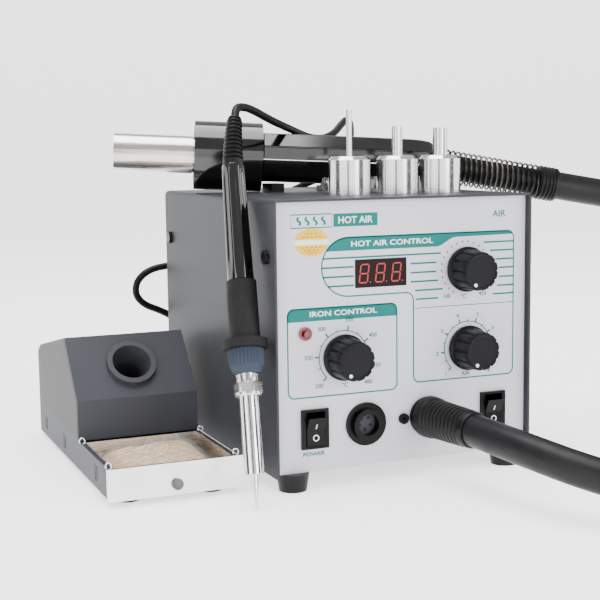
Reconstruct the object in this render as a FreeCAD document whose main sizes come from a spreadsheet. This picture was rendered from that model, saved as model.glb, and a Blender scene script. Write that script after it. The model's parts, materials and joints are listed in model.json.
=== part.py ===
import FreeCAD, Part
import math
import os
import Sketcher
from FreeCAD import Placement, Rotation, Vector

# Hot air station with its gun, nozzles, soldering iron and iron stand, in millimetres.
# The layout is drawn about the middle of the case on the bench: X right, Y back, Z up.
# The files are written with the front left foot's underside at the origin.

DOC = FreeCAD.newDocument("HotAirStation")
SHEET = DOC.addObject("Spreadsheet::Sheet", "size")
PARTS = {}

SIZES = {
    # Case: a bent cover over a tray, with an inset panel at the front and the rear.
    "case_width": 150.0,
    "case_depth": 187.0,
    "case_top": 150.0,
    "cover_low": 8.0,
    "cover_gauge": 1.2,
    "cover_bend": 3.0,
    "panel_inset": 4.0,
    "panel_gauge": 1.5,
    "panel_gap": 0.2,
    "tray_low": 9.5,
    "tray_wall": 14.0,
    "flange_depth": 14.0,
    "flange_low": 26.0,
    # Feet and side screws.
    "foot_x": 63.6,
    "foot_y": 85.6,
    "foot_top_radius": 8.7,
    "foot_low_radius": 7.2,
    "screw_y": 83.0,
    "screw_level": 121.0,
    "screw_head": 3.6,
    "screw_head_depth": 2.0,
    "screw_reach": 6.0,
    "screw_shank": 1.5,
    # Front panel features.
    "window_x": -14.2,
    "window_level": 110.8,
    "window_width": 29.6,
    "window_height": 14.4,
    "window_proud": 0.4,
    "lamp_x": -57.5,
    "lamp_level": 81.7,
    "lamp_radius": 2.5,
    "lamp_bezel": 3.5,
    "air_temp_x": 36.6,
    "air_temp_level": 110.2,
    "air_flow_x": 37.8,
    "air_flow_level": 67.6,
    "iron_temp_x": -35.8,
    "iron_temp_level": 68.0,
    # Potentiometers and knobs.
    "pot_radius": 8.2,
    "pot_depth": 9.0,
    "bush_radius": 4.5,
    "bush_proud": 4.0,
    "shaft_radius": 3.0,
    "shaft_play": 0.05,
    "knob_gap": 0.8,
    "knob_depth": 15.7,
    "skirt_radius": 12.1,
    "skirt_depth": 2.6,
    "knob_radius": 10.8,
    "knob_nose_radius": 10.1,
    "knob_edge": 0.8,
    "knob_recess": 5.5,
    "knob_bore_end": 12.5,
    "flute_radius": 0.9,
    "flute_count": 18,
    # Rocker switches.
    "switch_left_x": -52.8,
    "switch_right_x": 53.2,
    "switch_level": 32.0,
    "bezel_width": 15.1,
    "bezel_height": 20.7,
    "bezel_proud": 1.8,
    "switch_width": 12.9,
    "switch_height": 19.2,
    "switch_depth": 20.0,
    "rocker_width": 10.0,
    "rocker_reach": 7.6,
    "rocker_corner": 6.4,
    "rocker_waist": 4.4,
    "rocker_play": 0.4,
    "rocker_room": 9.1,
    "rocker_pin": 1.2,
    "rocker_tilt": 10.0,
    # Soldering iron socket, earth screw and hose gland.
    "socket_x": -23.6,
    "socket_level": 31.8,
    "socket_flange": 11.4,
    "socket_flange_depth": 1.6,
    "socket_barrel": 8.4,
    "socket_proud": 4.5,
    "socket_bore": 5.8,
    "socket_recess": 5.3,
    "socket_back": 16.0,
    "contact_radius": 0.75,
    "contact_ring": 3.2,
    "key_radius": 1.1,
    "earth_x": -1.4,
    "earth_level": 32.3,
    "earth_head": 2.9,
    "gland_x": 12.8,
    "gland_level": 32.5,
    "gland_flange": 10.4,
    "gland_depth": 2.2,
    "gland_barrel": 8.6,
    "gland_back": 12.0,
    "gland_bore": 5.0,
    "front_boot_base": 9.6,
    "front_boot_end": 8.9,
    # Parts inside the case.
    "board_low": 44.0,
    "board_high": 130.0,
    "board_half": 64.0,
    "board_front": 76.0,
    "board_gauge": 1.6,
    "sink_x": -50.0,
    "sink_level": 70.0,
    "sink_width": 30.0,
    "sink_depth": 14.0,
    "sink_height": 40.0,
    "can_radius": 8.0,
    "capacitor_x": 10.0,
    "capacitor_level": 100.0,
    "capacitor_length": 22.0,
    "relay_x": 38.0,
    "relay_level": 60.0,
    "relay_length": 16.0,
    "transformer_x": -36.0,
    "transformer_y": 30.0,
    "core_length": 62.0,
    "core_depth": 30.0,
    "core_height": 52.0,
    "winding_depth": 48.0,
    "winding_width": 40.0,
    "winding_height": 32.0,
    "pump_x": 34.0,
    "pump_y": 20.0,
    "pump_width": 58.0,
    "pump_length": 84.0,
    "pump_height": 58.0,
    "duct_radius": 5.0,
    "duct_wall": 1.0,
    "inlet_x": -40.0,
    "inlet_level": 36.0,
    "inlet_width": 28.0,
    "inlet_height": 20.0,
    "inlet_depth": 20.0,
    "inlet_wall": 2.0,
    "inlet_cavity": 15.0,
    "pin_width": 4.0,
    "pin_pitch": 7.0,
    "pin_rise": 2.0,
    "pin_root": 3.0,
    "vent_count": 9,
    "vent_pitch": 9.0,
    "vent_width": 4.0,
    "vent_height": 26.0,
    "vent_level": 112.0,
    # Rests for the gun on the case top.
    "rest_length": 8.0,
    "rest_width": 16.0,
    "rest_first": 94.0,
    "rest_second": 127.0,
    "rest_gap": 0.6,
    # Hot air gun, measured along its axis from the mouth of the heater pipe.
    "gun_x": -52.5,
    "gun_y": 37.0,
    "gun_level": 171.4,
    "gun_middle": 67.0,
    "gun_yaw": 17.0,
    "gun_pitch": 2.87,
    "pipe_radius": 11.0,
    "pipe_seat": 46.0,
    "pipe_root_radius": 10.4,
    "pipe_bore": 9.6,
    "pipe_length": 88.0,
    "pipe_wall": 1.0,
    "core_radius": 7.0,
    "core_start": 14.0,
    "core_end": 84.0,
    "core_flange": 3.0,
    "guard_radius": 20.3,
    "guard_wall": 1.8,
    "guard_start": 47.0,
    "guard_end": 87.0,
    "guard_hub": 13.0,
    "guard_hub_start": 72.0,
    "handle_start": 87.0,
    "handle_radius": 14.6,
    "handle_flat": 12.6,
    "handle_wall": 2.0,
    "handle_swell_end": 150.0,
    "handle_tail_radius": 14.0,
    "handle_end": 190.0,
    "handle_tail_edge": 3.5,
    "tail_bore": 8.0,
    "gun_boot_base": 10.4,
    "gun_boot_end": 9.0,
    "gun_boot_seat": 190.5,
    "rib_radius": 0.9,
    # Nozzles on the case top.
    "nozzle_radius": 11.7,
    "nozzle_bore": 11.1,
    "nozzle_skirt": 18.8,
    "nozzle_shoulder": 20.6,
    "nozzle_neck": 10.1,
    "nozzle_crown": 21.0,
    "nozzle_wall": 0.9,
    "slit_width": 1.4,
    "slit_height": 11.0,
    "ear_length": 5.5,
    "ear_gauge": 1.3,
    "ear_height": 8.0,
    "ear_low": 1.0,
    "ear_root": 0.6,
    "slit_reach": 3.0,
    "clamp_level": 5.0,
    "clamp_shank": 1.3,
    "clamp_head": 2.5,
    "clamp_head_depth": 1.8,
    "clamp_gap": 0.3,
    "ear_turn": -60.0,
    "clamp_play": 0.06,
    "clamp_drill": 8.0,
    # Soldering iron, measured along its axis from its tip.
    "iron_x": -94.0,
    "iron_y": -113.0,
    "iron_level": 0.5,
    "iron_lean_x": 12.5,
    "iron_lean_y": 60.0,
    "iron_lean_up": 166.6,
    "tip_point": 0.35,
    "tip_shoulder": 2.7,
    "tip_shank": 3.2,
    "tip_length": 17.2,
    "tip_end": 50.0,
    "sleeve_radius": 5.0,
    "sleeve_bore": 3.3,
    "sleeve_end": 76.0,
    "nut_start": 56.0,
    "nut_end": 67.0,
    "nut_radius": 6.7,
    "nut_play": 0.05,
    "iron_collar_start": 67.4,
    "iron_collar_end": 80.0,
    "iron_collar_low": 7.0,
    "iron_collar_high": 8.7,
    "grip_flange": 11.3,
    "grip_flange_end": 84.6,
    "grip_radius": 7.8,
    "grip_end": 115.0,
    "spigot_radius": 4.5,
    "handle_low_radius": 6.4,
    "handle_high_radius": 6.0,
    "iron_handle_end": 177.5,
    "iron_boot_base": 5.0,
    "iron_boot_end": 3.4,
    "iron_boot_ribs": 9,
    # Iron stand with its sponge tray.
    "stand_left": -158.0,
    "stand_right": -90.0,
    "stand_front": -78.0,
    "stand_back": 98.0,
    "stand_low": 3.0,
    "stand_deck": 19.0,
    "stand_floor": 2.0,
    "stand_gauge": 1.6,
    "stand_slot": 1.6,
    "tray_back": -14.0,
    "tray_play": 0.4,
    "tray_gauge": 0.8,
    "tray_lift": 0.2,
    "hanger_side": 4.0,
    "hanger_low": 6.0,
    "tray_screw_depth": 1.6,
    "tray_screw_level": 9.0,
    "apron_front": -80.2,
    "apron_side": 1.6,
    "apron_top": 20.0,
    "apron_gap": 0.4,
    "house_front": -10.0,
    "house_brow": 41.0,
    "house_peak_y": 18.0,
    "house_peak": 72.0,
    "house_tail_y": 90.0,
    "house_tail": 58.0,
    "house_gauge": 2.0,
    "house_corner": 5.0,
    "holder_rim": 13.8,
    "holder_rim_depth": 3.0,
    "holder_bore": 8.0,
    "holder_mouth": 10.8,
    "holder_tube": 9.6,
    "holder_seat": 11.2,
    "holder_length": 44.0,
    "sponge_length": 52.0,
    "sponge_width": 54.0,
    "sponge_height": 9.0,
    "sponge_gap": 0.5,
    "stand_pad": 6.0,
    "pad_inset": 12.0,
    # Cords.
    "hose_radius": 8.4,
    "cord_radius": 2.25,
    "cord_gap": 0.3,
    "coil_x": 2.0,
    "coil_y": 140.0,
    "coil_middle": 24.5,
    "coil_width": 9.4,
    "coil_height": 9.2,
    "plug_shift": 15.4,
    "plug_radius": 8.5,
    "plug_wall": 1.0,
    "plug_mouth": 6.0,
    "plug_length": 36.0,
    "plug_relief": 4.6,
    "plug_relief_length": 14.0,
}

# Nozzles: place on the case top, tube radius, tube bore and height.
NOZZLES = {
    "small": {"place": (-10.5, -44.0), "tube": 1.6, "bore": 0.9, "height": 46.0},
    "medium": {"place": (19.0, -44.0), "tube": 3.0, "bore": 2.2, "height": 37.0},
    "large": {"place": (44.5, -47.0), "tube": 4.1, "bore": 3.3, "height": 36.0},
}

# The air hose: from the front boot, along the bench and up to the gun's boot.
HOSE_ROUTE = [
    (17.6, -131.3, 32.5),
    (21.7, -165.0, 31.0),
    (40.0, -202.0, 23.5),
    (76.0, -236.0, 14.0),
    (128.0, -256.0, 9.0),
    (187.0, -257.0, 8.5),
    (243.0, -237.0, 8.5),
    (288.0, -199.0, 10.0),
    (316.0, -148.0, 22.0),
    (324.0, -96.0, 50.0),
    (304.0, -60.0, 90.0),
    (260.0, -43.0, 124.0),
    (205.0, -40.0, 139.0),
    (168.0, -30.1, 145.6),
    (139.5, -21.5, 151.0),
]

# The iron's cord: from its boot, over the gun, behind the case and down to its coil.
CORD_ROUTE = [
    (-76.2, -42.6, 191.4),
    (-74.6, -39.2, 197.0),
    (-70.3, -33.6, 200.6),
    (-63.0, -25.5, 202.4),
    (-54.5, -15.0, 201.5),
    (-44.0, -2.5, 198.5),
    (-33.0, 9.5, 194.0),
    (-21.5, 21.5, 189.0),
    (-10.5, 31.0, 185.4),
    (-1.0, 35.3, 182.2),
    (8.5, 35.5, 181.0),
    (16.5, 36.0, 184.0),
    (22.5, 38.2, 189.5),
    (28.5, 43.5, 193.0),
    (34.5, 51.0, 192.0),
    (39.0, 58.5, 186.5),
    (41.5, 66.0, 178.0),
    (41.5, 74.0, 168.5),
    (37.5, 82.5, 160.5),
    (29.5, 91.0, 155.0),
    (17.5, 98.5, 149.5),
    (3.0, 104.0, 141.0),
    (-13.0, 107.0, 129.5),
    (-31.0, 108.0, 116.5),
    (-50.5, 108.0, 107.5),
    (-70.0, 108.6, 104.2),
    (-84.0, 109.0, 103.0),
    (-94.5, 109.5, 95.5),
    (-96.5, 110.0, 83.0),
    (-89.0, 110.0, 73.0),
    (-76.0, 110.0, 68.5),
    (-58.0, 110.0, 60.5),
    (-43.0, 109.0, 48.0),
    (-33.0, 107.0, 32.5),
    (-27.0, 106.0, 17.0),
    (-24.0, 112.0, 6.0),
    (-22.5, 125.5, 2.5),
]

AXES = {
    "x": Rotation(Vector(0, 1, 0), 90),
    "y": Rotation(Vector(1, 0, 0), -90),
    "z": Rotation(),
    "front": Rotation(Vector(1, 0, 0), 90),
}
PANEL_FACE = "(size.case_depth / 2 - size.panel_inset)"
PANEL_BACK = "(size.case_depth / 2 - size.panel_inset - size.panel_gauge)"
TRAY_TOP = "(size.tray_low + size.cover_gauge)"
PIVOT = "(-size.case_depth / 2 + size.panel_inset + size.rocker_pin * 2)"
INSIDE = "(size.case_width / 2 - size.cover_gauge - size.panel_gap)"


# ---- Helpers -------------------------------------------------------------------------

def fill_sheet():
    """Write each size as a plain number with its alias."""
    for row, (alias, value) in enumerate(SIZES.items(), start=1):
        SHEET.set(f"A{row}", alias)
        SHEET.set(f"B{row}", str(value))
        SHEET.setAlias(f"B{row}", alias)
    DOC.recompute()


def size(alias):
    """Read one size back from the sheet."""
    return float(SHEET.get(alias))


def keep(solid, frame=None):
    """List a finished sub-part under its label, and set it in its frame."""
    if frame is not None:
        solid.Placement = frame
    PARTS[solid.Label] = solid
    return solid


def locate(solid, at, along="z"):
    """Point a solid along an axis and bind its place to the sheet."""
    solid.Placement = Placement(Vector(), AXES[along])
    for axis, formula in zip("xyz", at):
        solid.setExpression(f"Placement.Base.{axis}", str(formula))
    return solid


def box(label, low, extent):
    """Box from its low corner and its three sides."""
    solid = DOC.addObject("Part::Box", label)
    for side, formula in zip(("Length", "Width", "Height"), extent):
        solid.setExpression(side, str(formula))
    return locate(solid, low)


def rod(label, radius, length, at=None, along="z"):
    """Round rod from the middle of its first end, left at the origin when no place is given."""
    solid = DOC.addObject("Part::Cylinder", label)
    solid.setExpression("Radius", str(radius))
    solid.setExpression("Height", str(length))
    return solid if at is None else locate(solid, at, along)


def join(label, pieces):
    """One solid from pieces that touch or overlap."""
    solid = DOC.addObject("Part::MultiFuse", label)
    solid.Shapes = pieces
    solid.Refine = True
    return solid


def cut(label, base, tools):
    """A base with each tool taken away."""
    solid = DOC.addObject("Part::Cut", label)
    solid.Base = base
    solid.Tool = tools[0] if len(tools) == 1 else join(f"{label}_tools", tools)
    return solid


def common(label, base, tool):
    """What a base and a tool share."""
    solid = DOC.addObject("Part::Common", label)
    solid.Base = base
    solid.Tool = tool
    return solid


def group(label, pieces):
    """Separate solids under one name."""
    solid = DOC.addObject("Part::Compound", label)
    solid.Links = pieces
    return solid


def outline(body, role, corners):
    """Closed sketch of straight edges; each corner is a pair of formulas."""
    sketch = body.newObject("Sketcher::SketchObject", f"{body.Label}_outline")
    plane = next(item for item in body.Origin.OriginFeatures if item.Role == role)
    sketch.AttachmentSupport = [(plane, "")]
    sketch.MapMode = "FlatFace"
    count = len(corners)
    turns = [2 * math.pi * index / count for index in range(count)]
    spots = [Vector(2 + math.cos(turn), 2 + math.sin(turn), 0) for turn in turns]
    edges = [Part.LineSegment(spots[index - 1], spots[index]) for index in range(count)]
    sketch.addGeometry(edges, False)
    ties = [Sketcher.Constraint("Coincident", index - 1, 2, index, 1) for index in range(1, count)]
    sketch.addConstraint(ties + [Sketcher.Constraint("Coincident", count - 1, 2, 0, 1)])
    for index, pair in enumerate(corners):
        for kind, formula, axis in zip(("DistanceX", "DistanceY"), pair, (-2, -1)):
            tie_down(sketch, index, kind, str(formula), axis)
    return sketch


def tie_down(sketch, index, kind, formula, axis):
    """Bind one coordinate of a corner to its formula, or lay it on the axis for 0."""
    if formula == "0":
        sketch.addConstraint(Sketcher.Constraint("PointOnObject", index, 2, axis))
        return
    place = sketch.addConstraint(Sketcher.Constraint(kind, -1, 1, index, 2, 1.0))
    sketch.setExpression(f"Constraints[{place}]", formula)


def turned(label, corners):
    """Solid of revolution about local Z; each corner is (radius, height)."""
    body = DOC.addObject("PartDesign::Body", label)
    sketch = outline(body, "XZ_Plane", corners)
    turn = body.newObject("PartDesign::Revolution", f"{label}_turn")
    turn.Profile = sketch
    turn.ReferenceAxis = (sketch, ["V_Axis"])
    turn.Angle = 360
    body.Tip = turn
    return body


def pressed(label, role, corners, depth):
    """Outline on a plane of the origin, padded evenly to both sides."""
    body = DOC.addObject("PartDesign::Body", label)
    pad = body.newObject("PartDesign::Pad", f"{label}_pad")
    pad.Profile = outline(body, role, corners)
    pad.SideType = "Symmetric"
    pad.setExpression("Length", str(depth))
    body.Tip = pad
    return body


def rounded(body, radius, chosen):
    """Fillet the chosen edges of a body's last feature."""
    DOC.recompute()
    base = body.Tip
    names = [f"Edge{index}" for index, edge in enumerate(base.Shape.Edges, start=1) if chosen(edge)]
    fillet = body.newObject("PartDesign::Fillet", f"{body.Label}_fillet")
    fillet.Base = (base, names)
    fillet.setExpression("Radius", str(radius))
    body.Tip = fillet
    return body


def aim(start, end):
    """Frame at the start, with local Z towards the end."""
    return Placement(Vector(*start), Rotation(Vector(0, 0, 1), Vector(*end) - Vector(*start)))


def ribbed(label, low_radius, high_radius, length, ribs):
    """Tapered rubber sleeve with round ribs along it."""
    cone = DOC.addObject("Part::Cone", f"{label}_cone")
    cone.setExpression("Radius1", str(low_radius))
    cone.setExpression("Radius2", str(high_radius))
    cone.setExpression("Height", str(length))
    rings = []
    for index in range(ribs):
        share = f"({index} + 0.5) / {ribs}"
        ring = DOC.addObject("Part::Torus", f"{label}_rib")
        ring.setExpression("Radius1", f"{low_radius} + ({high_radius} - ({low_radius})) * {share}")
        ring.setExpression("Radius2", "size.rib_radius")
        rings.append(locate(ring, (0, 0, f"({length}) * {share}")))
    return join(label, [cone, *rings])


def bend(previous, corner, following):
    """Tangent arc at a corner: 0.45 of the shorter run over the tangent of half the turn."""
    inward = previous - corner
    outward = following - corner
    trim = 0.45 * min(inward.Length, outward.Length)
    half_turn = (math.pi - inward.getAngle(outward)) / 2
    inward.normalize()
    outward.normalize()
    radius = trim / math.tan(half_turn)
    toward = (inward + outward).normalize()
    middle = corner + toward * (radius / math.cos(half_turn) - radius)
    return corner + inward * trim, middle, corner + outward * trim, radius


def tube(label, radius, route):
    """Solid tube along straight runs joined by tangent arcs."""
    points = [Vector(*place) for place in route]
    edges = []
    radii = []
    start = points[0]
    for previous, corner, following in zip(points, points[1:], points[2:]):
        enter, middle, leave, curve = bend(previous, corner, following)
        edges.append(Part.LineSegment(start, enter).toShape())
        edges.append(Part.Arc(enter, middle, leave).toShape())
        radii.append(curve)
        start = leave
    edges.append(Part.LineSegment(start, points[-1]).toShape())
    path = Part.Wire(edges)
    ring = Part.Wire([Part.makeCircle(radius, points[0], points[1] - points[0])])
    solid = DOC.addObject("Part::Feature", label)
    solid.Shape = path.makePipeShell([ring], True, True)
    expected = math.pi * radius ** 2 * path.Length
    print(label, "length", round(path.Length, 1), "volume ratio", round(solid.Shape.Volume / expected, 4))
    print(label, "bend radii", [round(value, 1) for value in radii])
    return solid


# ---- Case ----------------------------------------------------------------------------

def top_cover():
    """Bent steel cover: two sides and a top, with four screw holes in its sides."""
    half = "size.case_width / 2"
    low, top = "size.cover_low", "size.case_top"
    inner = f"{half} - size.cover_gauge"
    corners = [
        (half, low), (half, top), (f"-{half}", top), (f"-{half}", low),
        (f"-({inner})", low), (f"-({inner})", f"{top} - size.cover_gauge"),
        (inner, f"{top} - size.cover_gauge"), (inner, low),
    ]
    shell = pressed("cover_shell", "XZ_Plane", corners, "size.case_depth")
    rounded(shell, "size.cover_bend", lambda edge: is_long_edge(edge, size("case_top")))
    holes = [screw_tool("cover_hole", side) for side in (-1, 1)]
    keep(cut("top_cover", shell, holes))


def screw_tool(label, side):
    """Hole tool across the whole case for the side screws, front (-1) or rear (1)."""
    reach = "size.case_width / 2 + size.cover_bend"
    return rod(label, "size.screw_shank", f"2 * ({reach})",
               (f"-({reach})", f"{side} * size.screw_y", "size.screw_level"), "x")


def is_long_edge(edge, level):
    """Whether an edge runs front to back at a level."""
    first, last = (vertex.Point for vertex in edge.Vertexes)
    runs_back = abs(first.y - last.y) > size("case_depth") / 2
    return runs_back and abs(first.z - level) < 0.01 and abs(last.z - level) < 0.01


def bottom_tray():
    """Floor of the case with upturned sides."""
    corners = [
        (INSIDE, "size.tray_low"), (INSIDE, "size.tray_low + size.tray_wall"),
        (f"{INSIDE} - size.cover_gauge", "size.tray_low + size.tray_wall"),
        (f"{INSIDE} - size.cover_gauge", TRAY_TOP),
        (f"-({INSIDE} - size.cover_gauge)", TRAY_TOP),
        (f"-({INSIDE} - size.cover_gauge)", "size.tray_low + size.tray_wall"),
        (f"-{INSIDE}", "size.tray_low + size.tray_wall"), (f"-{INSIDE}", "size.tray_low"),
    ]
    keep(pressed("bottom_tray", "XZ_Plane", corners, f"2 * {PANEL_BACK}"))


def panel_blank(label, side):
    """Flat panel with a flange at each side turned into the case."""
    front = f"-{PANEL_FACE}" if side < 0 else PANEL_BACK
    flange = f"-{PANEL_BACK}" if side < 0 else f"{PANEL_BACK} - size.flange_depth"
    height = "size.case_top - size.cover_gauge - size.panel_gap"
    pieces = [box(f"{label}_face", (f"-{INSIDE}", front, "size.tray_low"),
                  (f"2 * {INSIDE}", "size.panel_gauge", f"{height} - size.tray_low"))]
    for left in (f"-{INSIDE}", f"{INSIDE} - size.cover_gauge"):
        pieces.append(box(f"{label}_flange", (left, flange, "size.flange_low"),
                          ("size.cover_gauge", "size.flange_depth", f"{height} - size.flange_low")))
    return cut(f"{label}_blank", join(f"{label}_sheet", pieces), [screw_tool(f"{label}_screws", side)])


def through_panel(label, radius, place, level):
    """Round hole tool through the front panel."""
    return rod(label, radius, "size.panel_inset + 4 * size.panel_gauge",
               (place, f"-{PANEL_FACE} - size.panel_inset", level), "y")


def window_tool(label, place, level, width, height):
    """Square-cornered hole tool through the front panel."""
    front = f"-{PANEL_FACE} - size.panel_inset"
    return box(label, (f"{place} - {width} / 2", front, f"{level} - {height} / 2"),
               (width, "size.panel_inset + 4 * size.panel_gauge", height))


def front_panel():
    """Front panel with the holes for everything mounted on it."""
    holes = [window_tool("display_hole", "size.window_x", "size.window_level",
                         "size.window_width", "size.window_height")]
    for place in ("size.switch_left_x", "size.switch_right_x"):
        holes.append(window_tool("switch_hole", place, "size.switch_level",
                                 "size.switch_width", "size.switch_height"))
    for name in ("air_temp", "air_flow", "iron_temp"):
        holes.append(through_panel("pot_hole", "size.bush_radius", f"size.{name}_x", f"size.{name}_level"))
    holes.append(through_panel("lamp_hole", "size.lamp_radius", "size.lamp_x", "size.lamp_level"))
    holes.append(through_panel("socket_hole", "size.socket_barrel", "size.socket_x", "size.socket_level"))
    holes.append(through_panel("earth_hole", "size.screw_shank", "size.earth_x", "size.earth_level"))
    holes.append(through_panel("gland_hole", "size.gland_barrel", "size.gland_x", "size.gland_level"))
    keep(cut("front_panel", panel_blank("front", -1), holes))


def rear_panel():
    """Rear panel with the mains inlet's hole and a row of vents."""
    reach = "4 * size.panel_gauge"
    holes = [box("inlet_hole", ("size.inlet_x - size.inlet_width / 2", f"{PANEL_BACK} - size.panel_gauge",
                                "size.inlet_level - size.inlet_height / 2"),
                 ("size.inlet_width", reach, "size.inlet_height"))]
    for index in range(int(size("vent_count"))):
        left = f"({index} - (size.vent_count - 1) / 2) * size.vent_pitch - size.vent_width / 2"
        holes.append(box("vent_hole", (left, f"{PANEL_BACK} - size.panel_gauge",
                                       "size.vent_level - size.vent_height / 2"),
                         ("size.vent_width", reach, "size.vent_height")))
    keep(cut("rear_panel", panel_blank("rear", 1), holes))


def rubber_feet():
    """Four tapered rubber feet under the tray."""
    feet = []
    for across in (-1, 1):
        for along in (-1, 1):
            foot = DOC.addObject("Part::Cone", "foot")
            foot.setExpression("Radius1", "size.foot_low_radius")
            foot.setExpression("Radius2", "size.foot_top_radius")
            foot.setExpression("Height", "size.tray_low")
            feet.append(locate(foot, (f"{across} * size.foot_x", f"{along} * size.foot_y", 0)))
    keep(group("rubber_feet", feet))


def cover_screws():
    """Four pan-headed screws through the cover's sides into the panels' flanges."""
    screws = []
    for across, along in ((-1, "front"), (-1, "back"), (1, "front"), (1, "back")):
        depth = "-size.screw_y" if along == "front" else "size.screw_y"
        head_start = "-size.case_width / 2 - size.screw_head_depth" if across < 0 else "size.case_width / 2"
        shank_start = "-size.case_width / 2" if across < 0 else "size.case_width / 2 - size.screw_reach"
        head = rod("screw_head", "size.screw_head", "size.screw_head_depth",
                   (head_start, depth, "size.screw_level"), "x")
        shank = rod("screw_shank", "size.screw_shank", "size.screw_reach",
                    (shank_start, depth, "size.screw_level"), "x")
        screws.append(join("cover_screw", [head, shank]))
    keep(group("cover_screws", screws))


# ---- Front panel fittings ------------------------------------------------------------

def display_window():
    """Smoked window of the display, standing a little proud of the panel."""
    keep(box("display_window", ("size.window_x - size.window_width / 2", f"-{PANEL_FACE} - size.window_proud",
                                "size.window_level - size.window_height / 2"),
             ("size.window_width", "size.panel_gauge + size.window_proud", "size.window_height")))


def digit_display():
    """Three-digit display block between the window and the board."""
    low = "size.window_level - size.window_height / 2"
    return box("digit_display", ("size.window_x - size.window_width / 2", f"-{PANEL_BACK}", low),
               ("size.window_width", f"{PANEL_BACK} - size.board_front", "size.window_height"))


def heater_lamp():
    """Red lamp with a rim on the panel and its body behind."""
    corners = [
        (0, 0), ("size.lamp_radius", 0), ("size.lamp_radius", "size.bush_proud + size.panel_gauge"),
        ("size.lamp_bezel", "size.bush_proud + size.panel_gauge"),
        ("size.lamp_bezel", "size.bush_proud + 2 * size.panel_gauge"),
        ("size.lamp_radius", "size.bush_proud + 2 * size.panel_gauge"),
        ("size.lamp_radius - 1", "size.bush_proud + 3 * size.panel_gauge"),
        (0, "size.bush_proud + 3 * size.panel_gauge"),
    ]
    lamp = turned("heater_lamp", corners)
    keep(locate(lamp, ("size.lamp_x", f"-{PANEL_BACK} + size.bush_proud", "size.lamp_level"), "front"))


def potentiometers():
    """Three potentiometers with their threaded bushes through the panel."""
    pots = []
    for name in ("air_temp", "air_flow", "iron_temp"):
        bore = "size.shaft_radius + size.shaft_play"
        corners = [
            (0, 0), ("size.pot_radius", 0), ("size.pot_radius", "size.pot_depth"),
            ("size.bush_radius", "size.pot_depth"),
            ("size.bush_radius", "size.pot_depth + size.panel_gauge + size.bush_proud"),
            (bore, "size.pot_depth + size.panel_gauge + size.bush_proud"),
            (bore, "size.cover_gauge"), (0, "size.cover_gauge"),
        ]
        pot = turned(f"{name}_pot", corners)
        at = (f"size.{name}_x", f"-{PANEL_BACK} + size.pot_depth", f"size.{name}_level")
        pots.append(locate(pot, at, "front"))
    keep(group("potentiometers", pots))


def knob(name):
    """Fluted knob with a skirt, hollow at the back to clear the bush."""
    corners = [
        ("size.knob_recess", 0), ("size.skirt_radius", 0), ("size.skirt_radius", "size.skirt_depth"),
        ("size.knob_radius", "size.skirt_depth + size.knob_edge"),
        ("size.knob_nose_radius", "size.knob_depth - size.knob_edge"),
        ("size.knob_nose_radius - size.knob_edge", "size.knob_depth"), (0, "size.knob_depth"),
        (0, "size.knob_bore_end"), ("size.shaft_radius", "size.knob_bore_end"),
        ("size.shaft_radius", "size.knob_recess"), ("size.knob_recess", "size.knob_recess"),
    ]
    body = turned(f"{name}_knob", corners)
    flutes = body.newObject("Sketcher::SketchObject", f"{name}_flute")
    plane = next(item for item in body.Origin.OriginFeatures if item.Role == "XY_Plane")
    flutes.AttachmentSupport = [(plane, "")]
    flutes.MapMode = "FlatFace"
    flutes.AttachmentOffset = Placement(Vector(0, 0, size("knob_depth")), Rotation())
    flutes.addGeometry(Part.Circle(Vector(size("knob_radius"), 0, 0), Vector(0, 0, 1), 1.0), False)
    flutes.addConstraint(Sketcher.Constraint("PointOnObject", 0, 3, -1))
    across = flutes.addConstraint(Sketcher.Constraint("DistanceX", -1, 1, 0, 3, 10.0))
    wide = flutes.addConstraint(Sketcher.Constraint("Radius", 0, 1.0))
    flutes.setExpression(f"Constraints[{across}]", "size.knob_radius + size.flute_radius / 2")
    flutes.setExpression(f"Constraints[{wide}]", "size.flute_radius")
    groove = body.newObject("PartDesign::Pocket", f"{name}_groove")
    groove.Profile = flutes
    groove.setExpression("Length", "size.knob_depth - size.skirt_depth - 2 * size.knob_edge")
    ring = body.newObject("PartDesign::PolarPattern", f"{name}_flutes")
    ring.Originals = [groove]
    ring.Axis = (flutes, ["N_Axis"])
    ring.Angle = 360
    ring.setExpression("Occurrences", "size.flute_count")
    body.Tip = ring
    keep(locate(body, (f"size.{name}_x", f"-{PANEL_FACE} - size.knob_gap", f"size.{name}_level"), "front"))


def shaft(name):
    """Shaft from inside the potentiometer to inside the knob."""
    start = f"-{PANEL_BACK} + size.pot_depth - 2 * size.cover_gauge"
    length = "size.pot_depth - 2 * size.cover_gauge + size.panel_gauge + size.knob_gap + size.knob_bore_end"
    keep(rod(f"{name}_shaft", "size.shaft_radius", length,
             (f"size.{name}_x", start, f"size.{name}_level"), "front"))


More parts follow.
